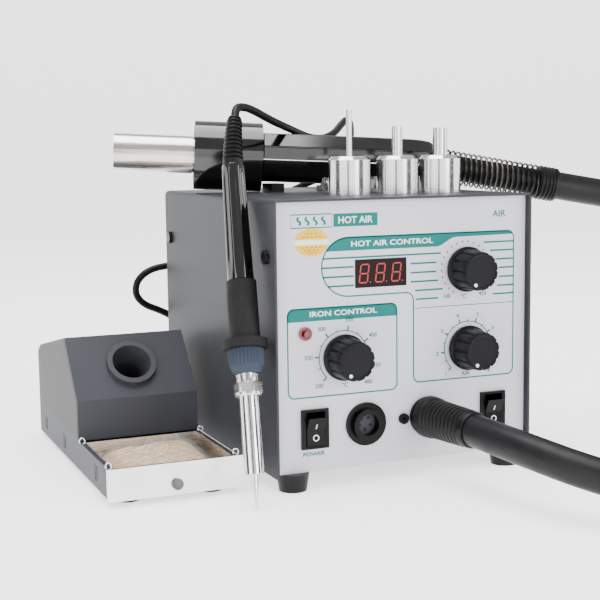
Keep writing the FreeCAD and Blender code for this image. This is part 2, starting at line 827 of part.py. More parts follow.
def switch_frame(label, place):
    """Switch housing with its bezel, open at the front for the rocker."""
    at = {"x": f"size.{place}", "z": "size.switch_level"}
    bezel = box(f"{label}_bezel", (f"{at['x']} - size.bezel_width / 2", f"-{PANEL_FACE} - size.bezel_proud",
                                   f"{at['z']} - size.bezel_height / 2"),
                ("size.bezel_width", "size.bezel_proud", "size.bezel_height"))
    housing = box(f"{label}_housing", (f"{at['x']} - size.switch_width / 2", f"-{PANEL_FACE}",
                                       f"{at['z']} - size.switch_height / 2"),
                  ("size.switch_width", "size.switch_depth", "size.switch_height"))
    room = box(f"{label}_room", (f"{at['x']} - size.rocker_width / 2 - size.rocker_play",
                                 f"-{PANEL_FACE} - 2 * size.bezel_proud", f"{at['z']} - size.rocker_room"),
               ("size.rocker_width + 2 * size.rocker_play", "size.switch_depth / 2 + 2 * size.bezel_proud",
                "2 * size.rocker_room"))
    bores = rod(f"{label}_bores", "size.rocker_pin + size.shaft_play", "size.switch_width - 0.4",
                (f"{at['x']} - size.switch_width / 2 + 0.2", PIVOT, at["z"]), "x")
    keep(cut(label, join(f"{label}_block", [bezel, housing]), [room, bores]))


def rocker(label, place):
    """Rocker with a waisted face and its pivot pins, tipped out at the top."""
    corners = [
        ("-size.rocker_corner", "size.rocker_reach"), ("-size.rocker_waist", 0),
        ("-size.rocker_corner", "-size.rocker_reach"), ("size.rocker_pin", "-size.rocker_waist"),
        ("2 * size.rocker_pin", 0), ("size.rocker_pin", "size.rocker_waist"),
    ]
    key = pressed(f"{label}_key", "YZ_Plane", corners, "size.rocker_width")
    pins = rod(f"{label}_pins", "size.rocker_pin", "size.switch_width - 0.8",
               ("-size.switch_width / 2 + 0.4", 0, 0), "x")
    whole = join(label, [key, pins])
    whole.Placement = Placement(Vector(), Rotation(Vector(1, 0, 0), size("rocker_tilt")))
    for axis, formula in zip("xyz", (f"size.{place}", PIVOT, "size.switch_level")):
        whole.setExpression(f"Placement.Base.{axis}", formula)
    keep(whole)


def iron_socket():
    """Round panel socket for the iron's plug: a flange and a barrel with a recess."""
    back, proud = "size.socket_back", "size.socket_proud"
    flange = f"{back} + size.socket_flange_depth"
    corners = [
        (0, 0), ("size.socket_barrel", 0), ("size.socket_barrel", back),
        ("size.socket_flange", back), ("size.socket_flange", flange), ("size.socket_barrel", flange),
        ("size.socket_barrel", f"{back} + {proud}"), ("size.socket_bore", f"{back} + {proud}"),
        ("size.socket_bore", "size.cover_gauge"), (0, "size.cover_gauge"),
    ]
    body = turned("iron_socket", corners)
    keep(locate(body, ("size.socket_x", f"-{PANEL_FACE} + {back}", "size.socket_level"), "front"))


def iron_socket_insert():
    """Insulator with five contact holes and a key notch, sunk in the socket."""
    length = "size.socket_back + size.socket_proud - size.socket_recess - size.cover_gauge"
    start = f"-{PANEL_FACE} + size.socket_back - size.cover_gauge"
    middle = ("size.socket_x", start, "size.socket_level")
    disc = rod("socket_disc", "size.socket_bore", length, middle, "front")
    tools = []
    for index in range(5):
        turn = f"{90 + 36} + {72 * index}"
        at = (f"size.socket_x + size.contact_ring * cos({turn})", f"-{PANEL_FACE}",
              f"size.socket_level + size.contact_ring * sin({turn})")
        tools.append(rod("contact_hole", "size.contact_radius", length, at, "front"))
    tools.append(rod("key_notch", "size.key_radius", length,
                     ("size.socket_x", f"-{PANEL_FACE}", "size.socket_level + size.socket_bore"), "front"))
    keep(cut("iron_socket_insert", disc, tools))


def earth_screw():
    """Small screw at the middle of the panel."""
    corners = [
        (0, 0), ("size.screw_shank", 0), ("size.screw_shank", "4 * size.panel_gauge"),
        ("size.earth_head", "4 * size.panel_gauge"), ("size.earth_head", "5 * size.panel_gauge"),
        ("size.contact_radius", "5 * size.panel_gauge"), ("size.contact_radius", "4 * size.panel_gauge"),
        (0, "4 * size.panel_gauge"),
    ]
    body = turned("earth_screw", corners)
    keep(locate(body, ("size.earth_x", f"-{PANEL_FACE} + 4 * size.panel_gauge", "size.earth_level"), "front"))


def hose_gland():
    """Flanged gland that brings the air out through the front panel."""
    back = "size.gland_back"
    corners = [
        ("size.gland_bore", 0), ("size.gland_barrel", 0), ("size.gland_barrel", back),
        ("size.gland_flange", back), ("size.gland_flange", f"{back} + size.gland_depth"),
        ("size.gland_bore", f"{back} + size.gland_depth"),
    ]
    body = turned("hose_gland", corners)
    keep(locate(body, ("size.gland_x", f"-{PANEL_FACE} + {back}", "size.gland_level"), "front"))


def front_boot():
    """Ribbed rubber boot from the gland to the air hose."""
    start = (size("gland_x"), -face_depth() - size("gland_depth"), size("gland_level"))
    length = (Vector(*HOSE_ROUTE[0]) - Vector(*start)).Length
    sleeve = ribbed("front_boot", "size.front_boot_base", "size.front_boot_end", length, 7)
    keep(sleeve, aim(start, HOSE_ROUTE[0]))


def face_depth():
    """How far in front of the case's middle the panel's face is."""
    return size("case_depth") / 2 - size("panel_inset")


# ---- Inside the case -----------------------------------------------------------------

def control_board():
    """Circuit board behind the panel with its display block, heat sink and tall components."""
    back = "-size.board_front + size.board_gauge"
    pieces = [
        box("board", ("-size.board_half", "-size.board_front", "size.board_low"),
            ("2 * size.board_half", "size.board_gauge", "size.board_high - size.board_low")),
        box("heat_sink", ("size.sink_x", back, "size.sink_level"),
            ("size.sink_width", "size.sink_depth", "size.sink_height")),
        rod("capacitor", "size.can_radius", "size.capacitor_length",
            ("size.capacitor_x", back, "size.capacitor_level"), "y"),
        rod("relay", "size.can_radius", "size.relay_length", ("size.relay_x", back, "size.relay_level"), "y"),
    ]
    keep(group("control_board", [join("board_parts", pieces), digit_display()]))


def transformer():
    """Mains transformer: laminated core with its winding."""
    middle = ("size.transformer_x", "size.transformer_y")
    core = block_on("core", middle, TRAY_TOP, ("size.core_length", "size.core_depth", "size.core_height"))
    winding = block_on("winding", middle, f"{TRAY_TOP} + (size.core_height - size.winding_height) / 2",
                       ("size.winding_width", "size.winding_depth", "size.winding_height"))
    keep(join("transformer", [core, winding]))


def block_on(label, middle, low, extent):
    """Box centred on a place in plan, with its underside at a level."""
    across, along = (f"{place} - {side} / 2" for place, side in zip(middle, extent))
    return box(label, (across, along, low), extent)


def air_pump():
    """Diaphragm pump block standing on the tray, with its outlet facing the gland."""
    block = block_on("pump_block", ("size.pump_x", "size.pump_y"), TRAY_TOP,
                     ("size.pump_width", "size.pump_length", "size.pump_height"))
    mouth = ("size.gland_x", "size.pump_y - size.pump_length / 2", "size.gland_level")
    outlet = rod("pump_outlet", "size.duct_radius - size.duct_wall", "2 * size.duct_radius", mouth, "y")
    keep(cut("air_pump", block, [outlet]))


def air_duct():
    """Rubber tube from the pump to the back of the gland."""
    start = f"-{PANEL_FACE} + size.gland_back"
    length = f"{PANEL_FACE} - size.gland_back + size.pump_y - size.pump_length / 2"
    outer = rod("duct_outer", "size.duct_radius + size.duct_wall", length,
                ("size.gland_x", start, "size.gland_level"), "y")
    bore = rod("duct_bore", "size.duct_radius", length, ("size.gland_x", start, "size.gland_level"), "y")
    keep(cut("air_duct", outer, [bore]))


def mains_inlet():
    """Three-pin mains inlet in the rear panel, with a flange outside."""
    mouth = PANEL_FACE
    place = ("size.inlet_x - size.inlet_width / 2", f"{mouth} - size.inlet_depth",
             "size.inlet_level - size.inlet_height / 2")
    housing = box("inlet_housing", place, ("size.inlet_width", "size.inlet_depth", "size.inlet_height"))
    flange = box("inlet_flange", ("size.inlet_x - size.inlet_width / 2 - size.inlet_wall", mouth,
                                  "size.inlet_level - size.inlet_height / 2 - size.inlet_wall"),
                 ("size.inlet_width + 2 * size.inlet_wall", "size.inlet_wall",
                  "size.inlet_height + 2 * size.inlet_wall"))
    cavity = box("inlet_cavity", ("size.inlet_x - size.inlet_width / 2 + size.inlet_wall",
                                  f"{mouth} + size.inlet_wall - size.inlet_cavity",
                                  "size.inlet_level - size.inlet_height / 2 + size.inlet_wall"),
                 ("size.inlet_width - 2 * size.inlet_wall", "size.inlet_cavity",
                  "size.inlet_height - 2 * size.inlet_wall"))
    hollow = cut("inlet_hollow", join("inlet_block", [housing, flange]), [cavity])
    pins = [box("inlet_pin", (f"size.inlet_x + {across} * size.pin_pitch - size.pin_width / 4",
                              f"{mouth} + size.inlet_wall - size.inlet_cavity",
                              f"size.inlet_level + {rise} * size.pin_rise - size.pin_width / 2"),
                ("size.pin_width / 2", "size.inlet_cavity - size.inlet_wall - size.pin_root", "size.pin_width"))
            for across, rise in ((-1, -1), (0, 1), (1, -1))]
    keep(join("mains_inlet", [hollow, *pins]))


# ---- Hot air gun ---------------------------------------------------------------------

def gun_frame():
    """Frame at the mouth of the heater pipe, with local Z along the gun."""
    turn = Rotation(Vector(0, 0, 1), -size("gun_yaw")) * Rotation(Vector(0, 1, 0), 90 + size("gun_pitch"))
    middle = Vector(size("gun_x"), size("gun_y"), size("gun_level"))
    return Placement(middle - turn.multVec(Vector(0, 0, size("gun_middle"))), turn)


def on_gun(distance):
    """Point on the gun's axis, counted from the mouth of its pipe."""
    return gun_frame().multVec(Vector(0, 0, distance))


def gun_rests():
    """Two rubber blocks on the case top, each cut to the handle that lies over them."""
    rests = []
    for distance in (size("rest_first"), size("rest_second")):
        middle = on_gun(distance)
        top = middle.z - size("handle_radius") - size("rest_gap")
        rests.append(block_on("gun_rest", (middle.x, middle.y), "size.case_top",
                              ("size.rest_length", "size.rest_width", f"({top} - size.case_top)")))
    keep(group("gun_rests", rests))


def heater_pipe():
    """Steel pipe round the heater; the nozzles clamp on its free end."""
    corners = [("size.pipe_bore", 0), ("size.pipe_radius", 0), ("size.pipe_radius", "size.pipe_seat"),
               ("size.pipe_root_radius", "size.pipe_seat"), ("size.pipe_root_radius", "size.pipe_length"),
               ("size.pipe_bore", "size.pipe_length")]
    keep(turned("heater_pipe", corners), gun_frame())


def gun_heater_core():
    """Ceramic heater core on a disc that fills the pipe's inner end."""
    corners = [(0, "size.core_start"), ("size.core_radius", "size.core_start"),
               ("size.core_radius", "size.core_end - size.core_flange"),
               ("size.pipe_bore", "size.core_end - size.core_flange"), ("size.pipe_bore", "size.core_end"),
               (0, "size.core_end")]
    keep(turned("gun_heater_core", corners), gun_frame())


def guard_collar():
    """Wide black guard round the pipe, open towards the nozzle."""
    inner = "size.guard_radius - size.guard_wall"
    corners = [
        (inner, "size.guard_start"), ("size.guard_radius", "size.guard_start"),
        ("size.guard_radius", "size.guard_end"), ("size.pipe_root_radius", "size.guard_end"),
        ("size.pipe_root_radius", "size.guard_hub_start"), ("size.guard_hub", "size.guard_hub_start"),
        ("size.guard_hub", "size.guard_end - size.guard_wall"), (inner, "size.guard_end - size.guard_wall"),
    ]
    keep(turned("guard_collar", corners), gun_frame())


def gun_shell(label, upper):
    """One half of the handle: a hollow turned shape with flat sides, split on its middle."""
    wall = "size.handle_wall"
    corners = [
        ("size.pipe_radius + size.duct_wall", "size.handle_start + size.duct_wall"),
        ("size.handle_radius", "size.handle_start + size.duct_wall"),
        ("size.handle_radius", "size.handle_swell_end"),
        ("size.handle_tail_radius", "size.handle_end - size.handle_tail_edge"),
        ("size.tail_bore + 2 * size.duct_wall", "size.handle_end"), ("size.tail_bore", "size.handle_end"),
        ("size.tail_bore", f"size.handle_end - size.handle_tail_edge - {wall}"),
        (f"size.handle_radius - {wall}", f"size.handle_swell_end - {wall}"),
        (f"size.handle_radius - {wall}", f"size.handle_start + size.duct_wall + {wall}"),
        ("size.pipe_radius + size.duct_wall", f"size.handle_start + size.duct_wall + {wall}"),
    ]
    whole = turned(f"{label}_turned", corners)
    low_x = "-size.guard_radius" if upper else 0
    half = box(f"{label}_half", (low_x, "-size.handle_flat", 0),
               ("size.guard_radius", "2 * size.handle_flat", "2 * size.handle_end"))
    keep(common(label, whole, half), gun_frame())


def gun_hose_boot():
    """Ribbed rubber boot from the handle down to the hose, just short of it."""
    start = on_gun(size("gun_boot_seat"))
    length = (Vector(*HOSE_ROUTE[-1]) - start).Length - size("cord_gap")
    sleeve = ribbed("gun_hose_boot", "size.gun_boot_base", "size.gun_boot_end", length, 13)
    keep(sleeve, aim(start, HOSE_ROUTE[-1]))


# ---- Nozzles -------------------------------------------------------------------------

def nozzle(name, spec):
    """Nozzle cup with its tube, split at one side and clamped between two ears."""
    wall = "size.nozzle_wall"
    across, along = spec["place"]
    corners = [
        ("size.nozzle_bore", 0), ("size.nozzle_radius", 0), ("size.nozzle_radius", "size.nozzle_skirt"),
        ("size.nozzle_neck", "size.nozzle_shoulder"), (spec["tube"], "size.nozzle_crown"),
        (spec["tube"], spec["height"]), (spec["bore"], spec["height"]),
        (spec["bore"], f"size.nozzle_crown - {wall}"),
        (f"size.nozzle_neck - {wall}", f"size.nozzle_shoulder - {wall}"),
        ("size.nozzle_bore", f"size.nozzle_skirt - {wall}"),
    ]
    cup = turned(f"nozzle_{name}_cup", corners)
    ear_start = "-size.nozzle_radius - size.ear_length"
    ears = [box(f"nozzle_{name}_ear", (ear_start, side, "size.ear_low"),
                ("size.ear_length + size.ear_root", "size.ear_gauge", "size.ear_height"))
            for side in ("-size.slit_width / 2 - size.ear_gauge", "size.slit_width / 2")]
    slit = box(f"nozzle_{name}_slit", (ear_start, "-size.slit_width / 2", -1),
               ("size.ear_length + size.slit_reach", "size.slit_width", "size.slit_height + 1"))
    bolt = rod(f"nozzle_{name}_bore", "size.clamp_shank + size.clamp_play", "size.clamp_drill",
               ("-size.nozzle_radius - size.ear_length / 2", "-size.clamp_drill / 2", "size.clamp_level"), "y")
    whole = cut(f"nozzle_{name}", join(f"nozzle_{name}_blank", [cup, *ears]), [slit, bolt])
    keep(whole, nozzle_frame(across, along))


def nozzle_frame(across, along):
    """Frame under a nozzle on the case top, with its ears along local -X."""
    return Placement(Vector(across, along, size("case_top")), Rotation(Vector(0, 0, 1), size("ear_turn")))


def nozzle_screw(name, spec):
    """Clamp screw through the nozzle's ears."""
    across, along = spec["place"]
    gap = "size.slit_width / 2 + size.ear_gauge"
    middle = "-size.nozzle_radius - size.ear_length / 2"
    head = rod(f"clamp_{name}_head", "size.clamp_head", "size.clamp_head_depth",
               (middle, f"-({gap}) - size.clamp_head_depth - size.clamp_gap", "size.clamp_level"), "y")
    shank = rod(f"clamp_{name}_shank", "size.clamp_shank", f"2 * ({gap}) + 4 * size.clamp_gap",
                (middle, f"-({gap}) - size.clamp_gap", "size.clamp_level"), "y")
    keep(join(f"nozzle_screw_{name}", [head, shank]), nozzle_frame(across, along))


# ---- Soldering iron ------------------------------------------------------------------

def iron_frame():
    """Frame at the iron's tip, with local Z up its handle."""
    tip = (size("iron_x"), size("iron_y"), size("iron_level"))
    lean = (size("iron_lean_x"), size("iron_lean_y"), size("iron_lean_up"))
    return aim(tip, [start + step for start, step in zip(tip, lean)])


def iron_metal():
    """Tip, barrel, nut and knurled collar of the soldering iron."""
    tip = [(0, 0), ("size.tip_point", 0), ("size.tip_shoulder", "size.tip_length"),
           ("size.tip_shank", "size.tip_length"), ("size.tip_shank", "size.tip_end"), (0, "size.tip_end")]
    sleeve = [("size.sleeve_bore", "size.tip_length"), ("size.sleeve_radius", "size.tip_length"),
              ("size.sleeve_radius", "size.sleeve_end"), ("size.sleeve_bore", "size.sleeve_end")]
    nut_bore = "size.sleeve_radius + size.nut_play"
    nut = [(nut_bore, "size.nut_start"), ("size.nut_radius", "size.nut_start"),
           ("size.nut_radius", "size.nut_end"), (nut_bore, "size.nut_end")]
    collar = [
        ("size.sleeve_radius", "size.iron_collar_start"), ("size.iron_collar_low", "size.iron_collar_start"),
        ("size.iron_collar_high", "size.iron_collar_end"), (0, "size.iron_collar_end"),
        (0, "size.sleeve_end"), ("size.sleeve_radius", "size.sleeve_end"),
    ]
    shapes = {"iron_tip": tip, "iron_sleeve": sleeve, "iron_nut": nut, "iron_collar": collar}
    for label, corners in shapes.items():
        keep(turned(label, corners), iron_frame())


def iron_handle():
    """Rubber grip with its flange, and the handle whose spigot fills it."""
    floor = "size.iron_collar_end + size.pipe_wall"
    grip = [
        ("size.spigot_radius", floor), ("size.spigot_radius", "size.grip_end"),
        ("size.grip_radius", "size.grip_end"), ("size.grip_radius", "size.grip_flange_end"),
        ("size.grip_flange", "size.grip_flange_end"), ("size.grip_flange", "size.iron_collar_end"),
        (0, "size.iron_collar_end"), (0, floor),
    ]
    handle = [
        (0, floor), ("size.spigot_radius", floor),
        ("size.spigot_radius", "size.grip_end"), ("size.handle_low_radius", "size.grip_end"),
        ("size.handle_high_radius", "size.iron_handle_end"), (0, "size.iron_handle_end"),
    ]
    keep(turned("iron_grip", grip), iron_frame())
    keep(turned("iron_handle", handle), iron_frame())
    frame = iron_frame()
    start = frame.multVec(Vector(0, 0, size("iron_handle_end")))
    length = (Vector(*CORD_ROUTE[0]) - start).Length - size("cord_gap")
    boot = ribbed("iron_boot", "size.iron_boot_base", "size.iron_boot_end", length,
                  int(size("iron_boot_ribs")))
    keep(boot, aim(start, CORD_ROUTE[0]))


# ---- Iron stand ----------------------------------------------------------------------

def stand_base():
    """Low steel base: a floor with two side walls, slotted at the sides."""
    width = "size.stand_right - size.stand_left"
    depth = "size.stand_back - size.stand_front"
    block = box("base_block", ("size.stand_left", "size.stand_front", "size.stand_low"),
                (width, depth, "size.stand_deck - size.stand_low"))
    room = box("base_room", ("size.stand_left + size.stand_gauge", "size.stand_front - 1",
                             "size.stand_low + size.stand_floor"),
               (f"{width} - 2 * size.stand_gauge", f"{depth} - size.stand_gauge + 1", "size.stand_deck"))
    slots = []
    for start in (-52, 24, 76):
        for step in (0, 4):
            slots.append(box("base_slot", ("size.stand_left - 1", start + step, "size.stand_low + 4"),
                             (f"{width} + 2", "size.stand_slot", 8)))
    keep(cut("stand_base", block, [room, *slots]))


def house_outline(inset):
    """Side view of the housing, drawn in by a wall's thickness."""
    front, low = f"size.house_front + {inset}", "size.stand_deck"
    return [
        (front, low), (front, f"size.house_brow - {inset} / 3"),
        (f"size.house_peak_y + {inset} / 3", f"size.house_peak - {inset} * 1.3"),
        (f"size.house_tail_y - {inset} / 3", f"size.house_tail - {inset} * 1.1"),
        (f"size.stand_back - {inset}", f"size.house_tail - size.house_corner - {inset} * 1.4"),
        (f"size.stand_back - {inset}", low),
    ]


def holder_frame():
    """Frame at the middle of the holder's mouth, with local Z into the housing."""
    brow = Vector(0, size("house_front"), size("house_brow"))
    peak = Vector(0, size("house_peak_y"), size("house_peak"))
    middle = (brow + peak) / 2
    middle.x = (size("stand_left") + size("stand_right")) / 2
    slope = peak - brow
    return Placement(middle, Rotation(Vector(0, 0, 1), Vector(0, slope.z, -slope.y)))


def stand_housing():
    """Hollow housing over the back of the base, with the holder's hole in its slope."""
    width = "size.stand_right - size.stand_left"
    outer = pressed("house_outer", "YZ_Plane", house_outline("0"), width)
    inner = pressed("house_inner", "YZ_Plane", house_outline("size.house_gauge"),
                    f"{width} - 2 * size.house_gauge")
    for body in (outer, inner):
        locate(body, ("(size.stand_left + size.stand_right) / 2", 0, 0))
    hole = rod("holder_hole", "size.holder_seat", "4 * size.house_gauge")
    hole.Placement = holder_frame() * Placement(Vector(0, 0, -2 * size("house_gauge")), Rotation())
    keep(cut("stand_housing", outer, [inner, hole]))


def stand_holder():
    """Funnel-mouthed tube that holds the iron, with a raised rim on the slope."""
    corners = [
        ("size.holder_mouth", "-size.holder_rim_depth"), ("size.holder_rim", "-size.holder_rim_depth"),
        ("size.holder_rim", 0), ("size.holder_seat", 0), ("size.holder_seat", "size.house_gauge + 1"),
        ("size.holder_tube", "size.holder_length / 4"), ("size.holder_tube", "size.holder_length"),
        ("size.holder_bore", "size.holder_length"), ("size.holder_bore", "size.holder_length / 4"),
    ]
    keep(turned("stand_holder", corners), holder_frame())


def sponge_tray():
    """Bright sheet tray with a tall front apron, lying in the base."""
    play = "size.tray_play"
    left = f"size.stand_left + size.stand_gauge + {play}"
    width = f"size.stand_right - size.stand_left - 2 * size.stand_gauge - 2 * {play}"
    low = "size.stand_low + size.stand_floor + size.tray_lift"
    depth = "size.tray_back - size.stand_front"
    block = box("tray_block", (left, "size.stand_front", low), (width, depth, f"size.stand_deck - ({low})"))
    room = box("tray_room", (f"{left} + size.tray_gauge", "size.stand_front + size.tray_gauge",
                             f"{low} + size.tray_gauge"),
               (f"{width} - 2 * size.tray_gauge", f"{depth} - 2 * size.tray_gauge", "size.stand_deck"))
    apron = box("tray_apron",
                ("size.stand_left - size.apron_side", "size.apron_front", "size.stand_low + size.apron_gap"),
                ("size.stand_right - size.stand_left + 2 * size.apron_side",
                 "size.stand_front - size.apron_front - size.apron_gap",
                 "size.apron_top - size.stand_low - size.apron_gap"))
    hanger = box("tray_hanger",
                 (f"{left} + size.hanger_side", "size.stand_front - size.apron_gap", f"{low} + size.hanger_low"),
                 (f"{width} - 2 * size.hanger_side", "size.apron_gap",
                  f"size.stand_deck - ({low}) - size.hanger_low"))
    tray = cut("tray_box", block, [room])
    keep(join("sponge_tray", [tray, apron, hanger]))


def tray_screw():
    """Thumb screw in the middle of the tray's apron."""
    middle = "(size.stand_left + size.stand_right) / 2"
    keep(rod("tray_screw", "size.earth_head", "size.tray_screw_depth",
             (middle, "size.apron_front", "size.tray_screw_level"), "front"))


def sponge():
    """Cleaning sponge lying in the tray."""
    middle = ("(size.stand_left + size.stand_right) / 2", "(size.stand_front + size.tray_back) / 2")
    keep(block_on("sponge", middle, "size.stand_low + size.stand_floor + size.tray_gauge + size.sponge_gap",
                  ("size.sponge_length", "size.sponge_width", "size.sponge_height")))


def stand_pads():
    """Four rubber pads under the stand."""
    pads = []
    for across in ("size.stand_left + size.pad_inset", "size.stand_right - size.pad_inset"):
        for along in ("size.stand_front + size.pad_inset", "size.stand_back - size.pad_inset"):
            pads.append(rod("stand_pad", "size.stand_pad", "size.stand_low", (across, along, 0)))
    keep(group("stand_pads", pads))


# ---- Cords ---------------------------------------------------------------------------

def cords():
    """The air hose, and the iron's cord with its coil and plug."""
    keep(tube("air_hose", size("hose_radius"), HOSE_ROUTE))
    keep(tube("iron_cord", size("cord_radius"), CORD_ROUTE))
    half = "size.coil_width / 2"
    inner, outer = f"size.coil_middle - {half}", f"size.coil_middle + {half}"
    ring = [(inner, 0), (outer, 0), (outer, "size.coil_height"), (inner, "size.coil_height")]
    keep(locate(turned("iron_cord_coil", ring), ("size.coil_x", "size.coil_y", 0)))
    body = [
        (0, 0), ("size.cord_radius + size.cord_gap", 0), ("size.plug_relief", "size.plug_relief_length"),
        ("size.plug_radius", "size.plug_relief_length"),
        ("size.plug_radius", "size.plug_relief_length + size.plug_length"),
        ("size.plug_radius - size.plug_wall", "size.plug_relief_length + size.plug_length"),
        ("size.plug_radius - size.plug_wall", "size.plug_relief_length + size.plug_length - size.plug_mouth"),
        (0, "size.plug_relief_length + size.plug_length - size.plug_mouth"),
    ]
    start = ("size.coil_x + size.plug_shift", "size.coil_y + size.coil_middle", "size.plug_radius")
    keep(locate(turned("iron_plug", body), start, "x"))


# ---- Whole ---------------------------------------------------------------------------

def build():
    """Make every sub-part."""
    fill_sheet()
    for make in (top_cover, bottom_tray, front_panel, rear_panel, rubber_feet, cover_screws,
                 display_window, heater_lamp, potentiometers):
        make()
    for name in ("air_temp", "air_flow", "iron_temp"):
        knob(name)
        shaft(name)
    for name, place in (("power", "switch_left_x"), ("air", "switch_right_x")):
        switch_frame(f"{name}_switch_frame", place)
        rocker(f"{name}_rocker", place)
    for make in (iron_socket, iron_socket_insert, earth_screw, hose_gland, front_boot, control_board,
                 transformer, air_pump, air_duct, mains_inlet, gun_rests, heater_pipe, gun_heater_core,
                 guard_collar, gun_hose_boot):
        make()
    gun_shell("gun_upper_shell", True)
    gun_shell("gun_lower_shell", False)
    for name, spec in NOZZLES.items():
        nozzle(name, spec)
        nozzle_screw(name, spec)
    for make in (iron_metal, iron_handle, stand_base, stand_housing, stand_holder, sponge_tray,
                 tray_screw, sponge, stand_pads, cords):
        make()


def check():
    """Stop on any failed object or unsound sub-part."""
    DOC.recompute()
    for item in DOC.Objects:
        if "Invalid" in item.State or "Error" in item.State:
            raise RuntimeError(f"{item.Label} failed: {item.State}")
    for label, solid in PARTS.items():
        if solid.Shape.isNull() or not solid.Shape.isValid() or solid.Shape.Volume <= 0:
            raise RuntimeError(f"{label} is not a sound solid")


def write():
    """Write each sub-part with the front left foot's underside at the origin."""
    os.makedirs("parts", exist_ok=True)
    to_foot = Placement(Vector(size("foot_x"), size("foot_y"), 0), Rotation())
    for label, solid in PARTS.items():
        shape = solid.Shape.copy()
        shape.Placement = to_foot * shape.Placement
        shape.exportStep(f"parts/{label}.step")
    print(len(PARTS), "sub-parts")


build()
check()
write()
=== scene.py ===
import json
import logging
import math
from dataclasses import dataclass
from enum import Enum

import bmesh
import bpy
import numpy as np
from mathutils import Matrix, Vector
from mathutils.bvhtree import BVHTree


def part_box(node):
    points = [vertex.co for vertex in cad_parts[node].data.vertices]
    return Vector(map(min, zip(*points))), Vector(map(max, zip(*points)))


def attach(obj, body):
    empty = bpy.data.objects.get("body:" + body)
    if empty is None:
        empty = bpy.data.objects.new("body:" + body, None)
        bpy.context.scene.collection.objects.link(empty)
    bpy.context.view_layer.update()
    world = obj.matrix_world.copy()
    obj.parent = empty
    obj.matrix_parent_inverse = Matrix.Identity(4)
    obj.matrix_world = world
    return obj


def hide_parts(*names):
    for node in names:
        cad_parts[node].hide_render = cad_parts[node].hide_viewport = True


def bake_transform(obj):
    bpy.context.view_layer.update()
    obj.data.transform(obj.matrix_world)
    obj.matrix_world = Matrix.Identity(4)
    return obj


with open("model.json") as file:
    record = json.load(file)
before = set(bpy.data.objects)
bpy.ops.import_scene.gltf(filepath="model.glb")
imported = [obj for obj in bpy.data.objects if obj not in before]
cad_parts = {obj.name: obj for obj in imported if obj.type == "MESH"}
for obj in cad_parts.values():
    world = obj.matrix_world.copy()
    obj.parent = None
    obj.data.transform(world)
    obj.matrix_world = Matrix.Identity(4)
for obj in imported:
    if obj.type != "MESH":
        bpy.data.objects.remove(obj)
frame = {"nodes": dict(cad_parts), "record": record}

# Looks of the hot air station, in metres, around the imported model.
# Drawn sizes are in millimetres about the point on the bench under the middle of the case.

LOG = logging.getLogger("hot_air_station")
MM = 0.001
TAU = 2 * math.pi
INK_ROOT = -0.05
Array = np.ndarray
Triple = tuple[float, float, float]
Pair = tuple[float, float]
Colour = tuple[float, float, float]


def shade(red: int, green: int, blue: int) -> Colour:
    """Turn a colour of 0 to 255 a channel into the light that it sends back in this bright studio.

    Args:
        red, green, blue: The colour as a screen shows it.

    Returns:
        The three linear shares, from 0 to 1, deepened by a power and a share.
    """
    return tuple(0.75 * ((channel / 255 + 0.055) / 1.055) ** 3.24 for channel in (red, green, blue))


def case_middle() -> Vector:
    """Find the point on the bench under the middle of the case."""
    low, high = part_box("top_cover")
    return Vector(((low.x + high.x) / 2, (low.y + high.y) / 2, 0.0))


MIDDLE = case_middle()


def place(points: Array) -> Array:
    """Move points in millimetres about the case's middle to metres in the frame."""
    return np.asarray(points, float) * MM + np.array(MIDDLE)


# ---- Meshes ---------------------------------------------------------------------------

@dataclass
class Shape:
    """Points in metres, faces as tuples of point numbers, and an optional flat map."""

    points: Array
    faces: list[tuple[int, ...]]
    chart: Array | None = None

    def __add__(self, other: "Shape") -> "Shape":
        """Put two shapes in one list, the second's numbers moved past the first's."""
        shift = len(self.points)
        moved = [tuple(number + shift for number in face) for face in other.faces]
        return Shape(np.concatenate((self.points, other.points)), self.faces + moved)


def gather(shapes: list[Shape]) -> Shape:
    """Join several shapes into one."""
    whole = shapes[0]
    for shape in shapes[1:]:
        whole = whole + shape
    return whole


def grid_faces(rows: int, columns: int) -> list[tuple[int, ...]]:
    """Number the quads of a grid of points, row by row.

    Args:
        rows: How many rows of points.
        columns: How many points a row.

    Returns:
        One tuple of four numbers a quad.
    """
    row, column = np.meshgrid(np.arange(rows - 1), np.arange(columns - 1), indexing="ij")
    first = (row * columns + column).ravel()
    quads = np.stack((first, first + 1, first + columns + 1, first + columns), axis=1)
    return [tuple(quad) for quad in quads.tolist()]


def grid_shape(points: Array) -> Shape:
    """Make a surface from its points in rows and columns."""
    rows, columns = points.shape[:2]
    return Shape(points.reshape(-1, 3), grid_faces(rows, columns))


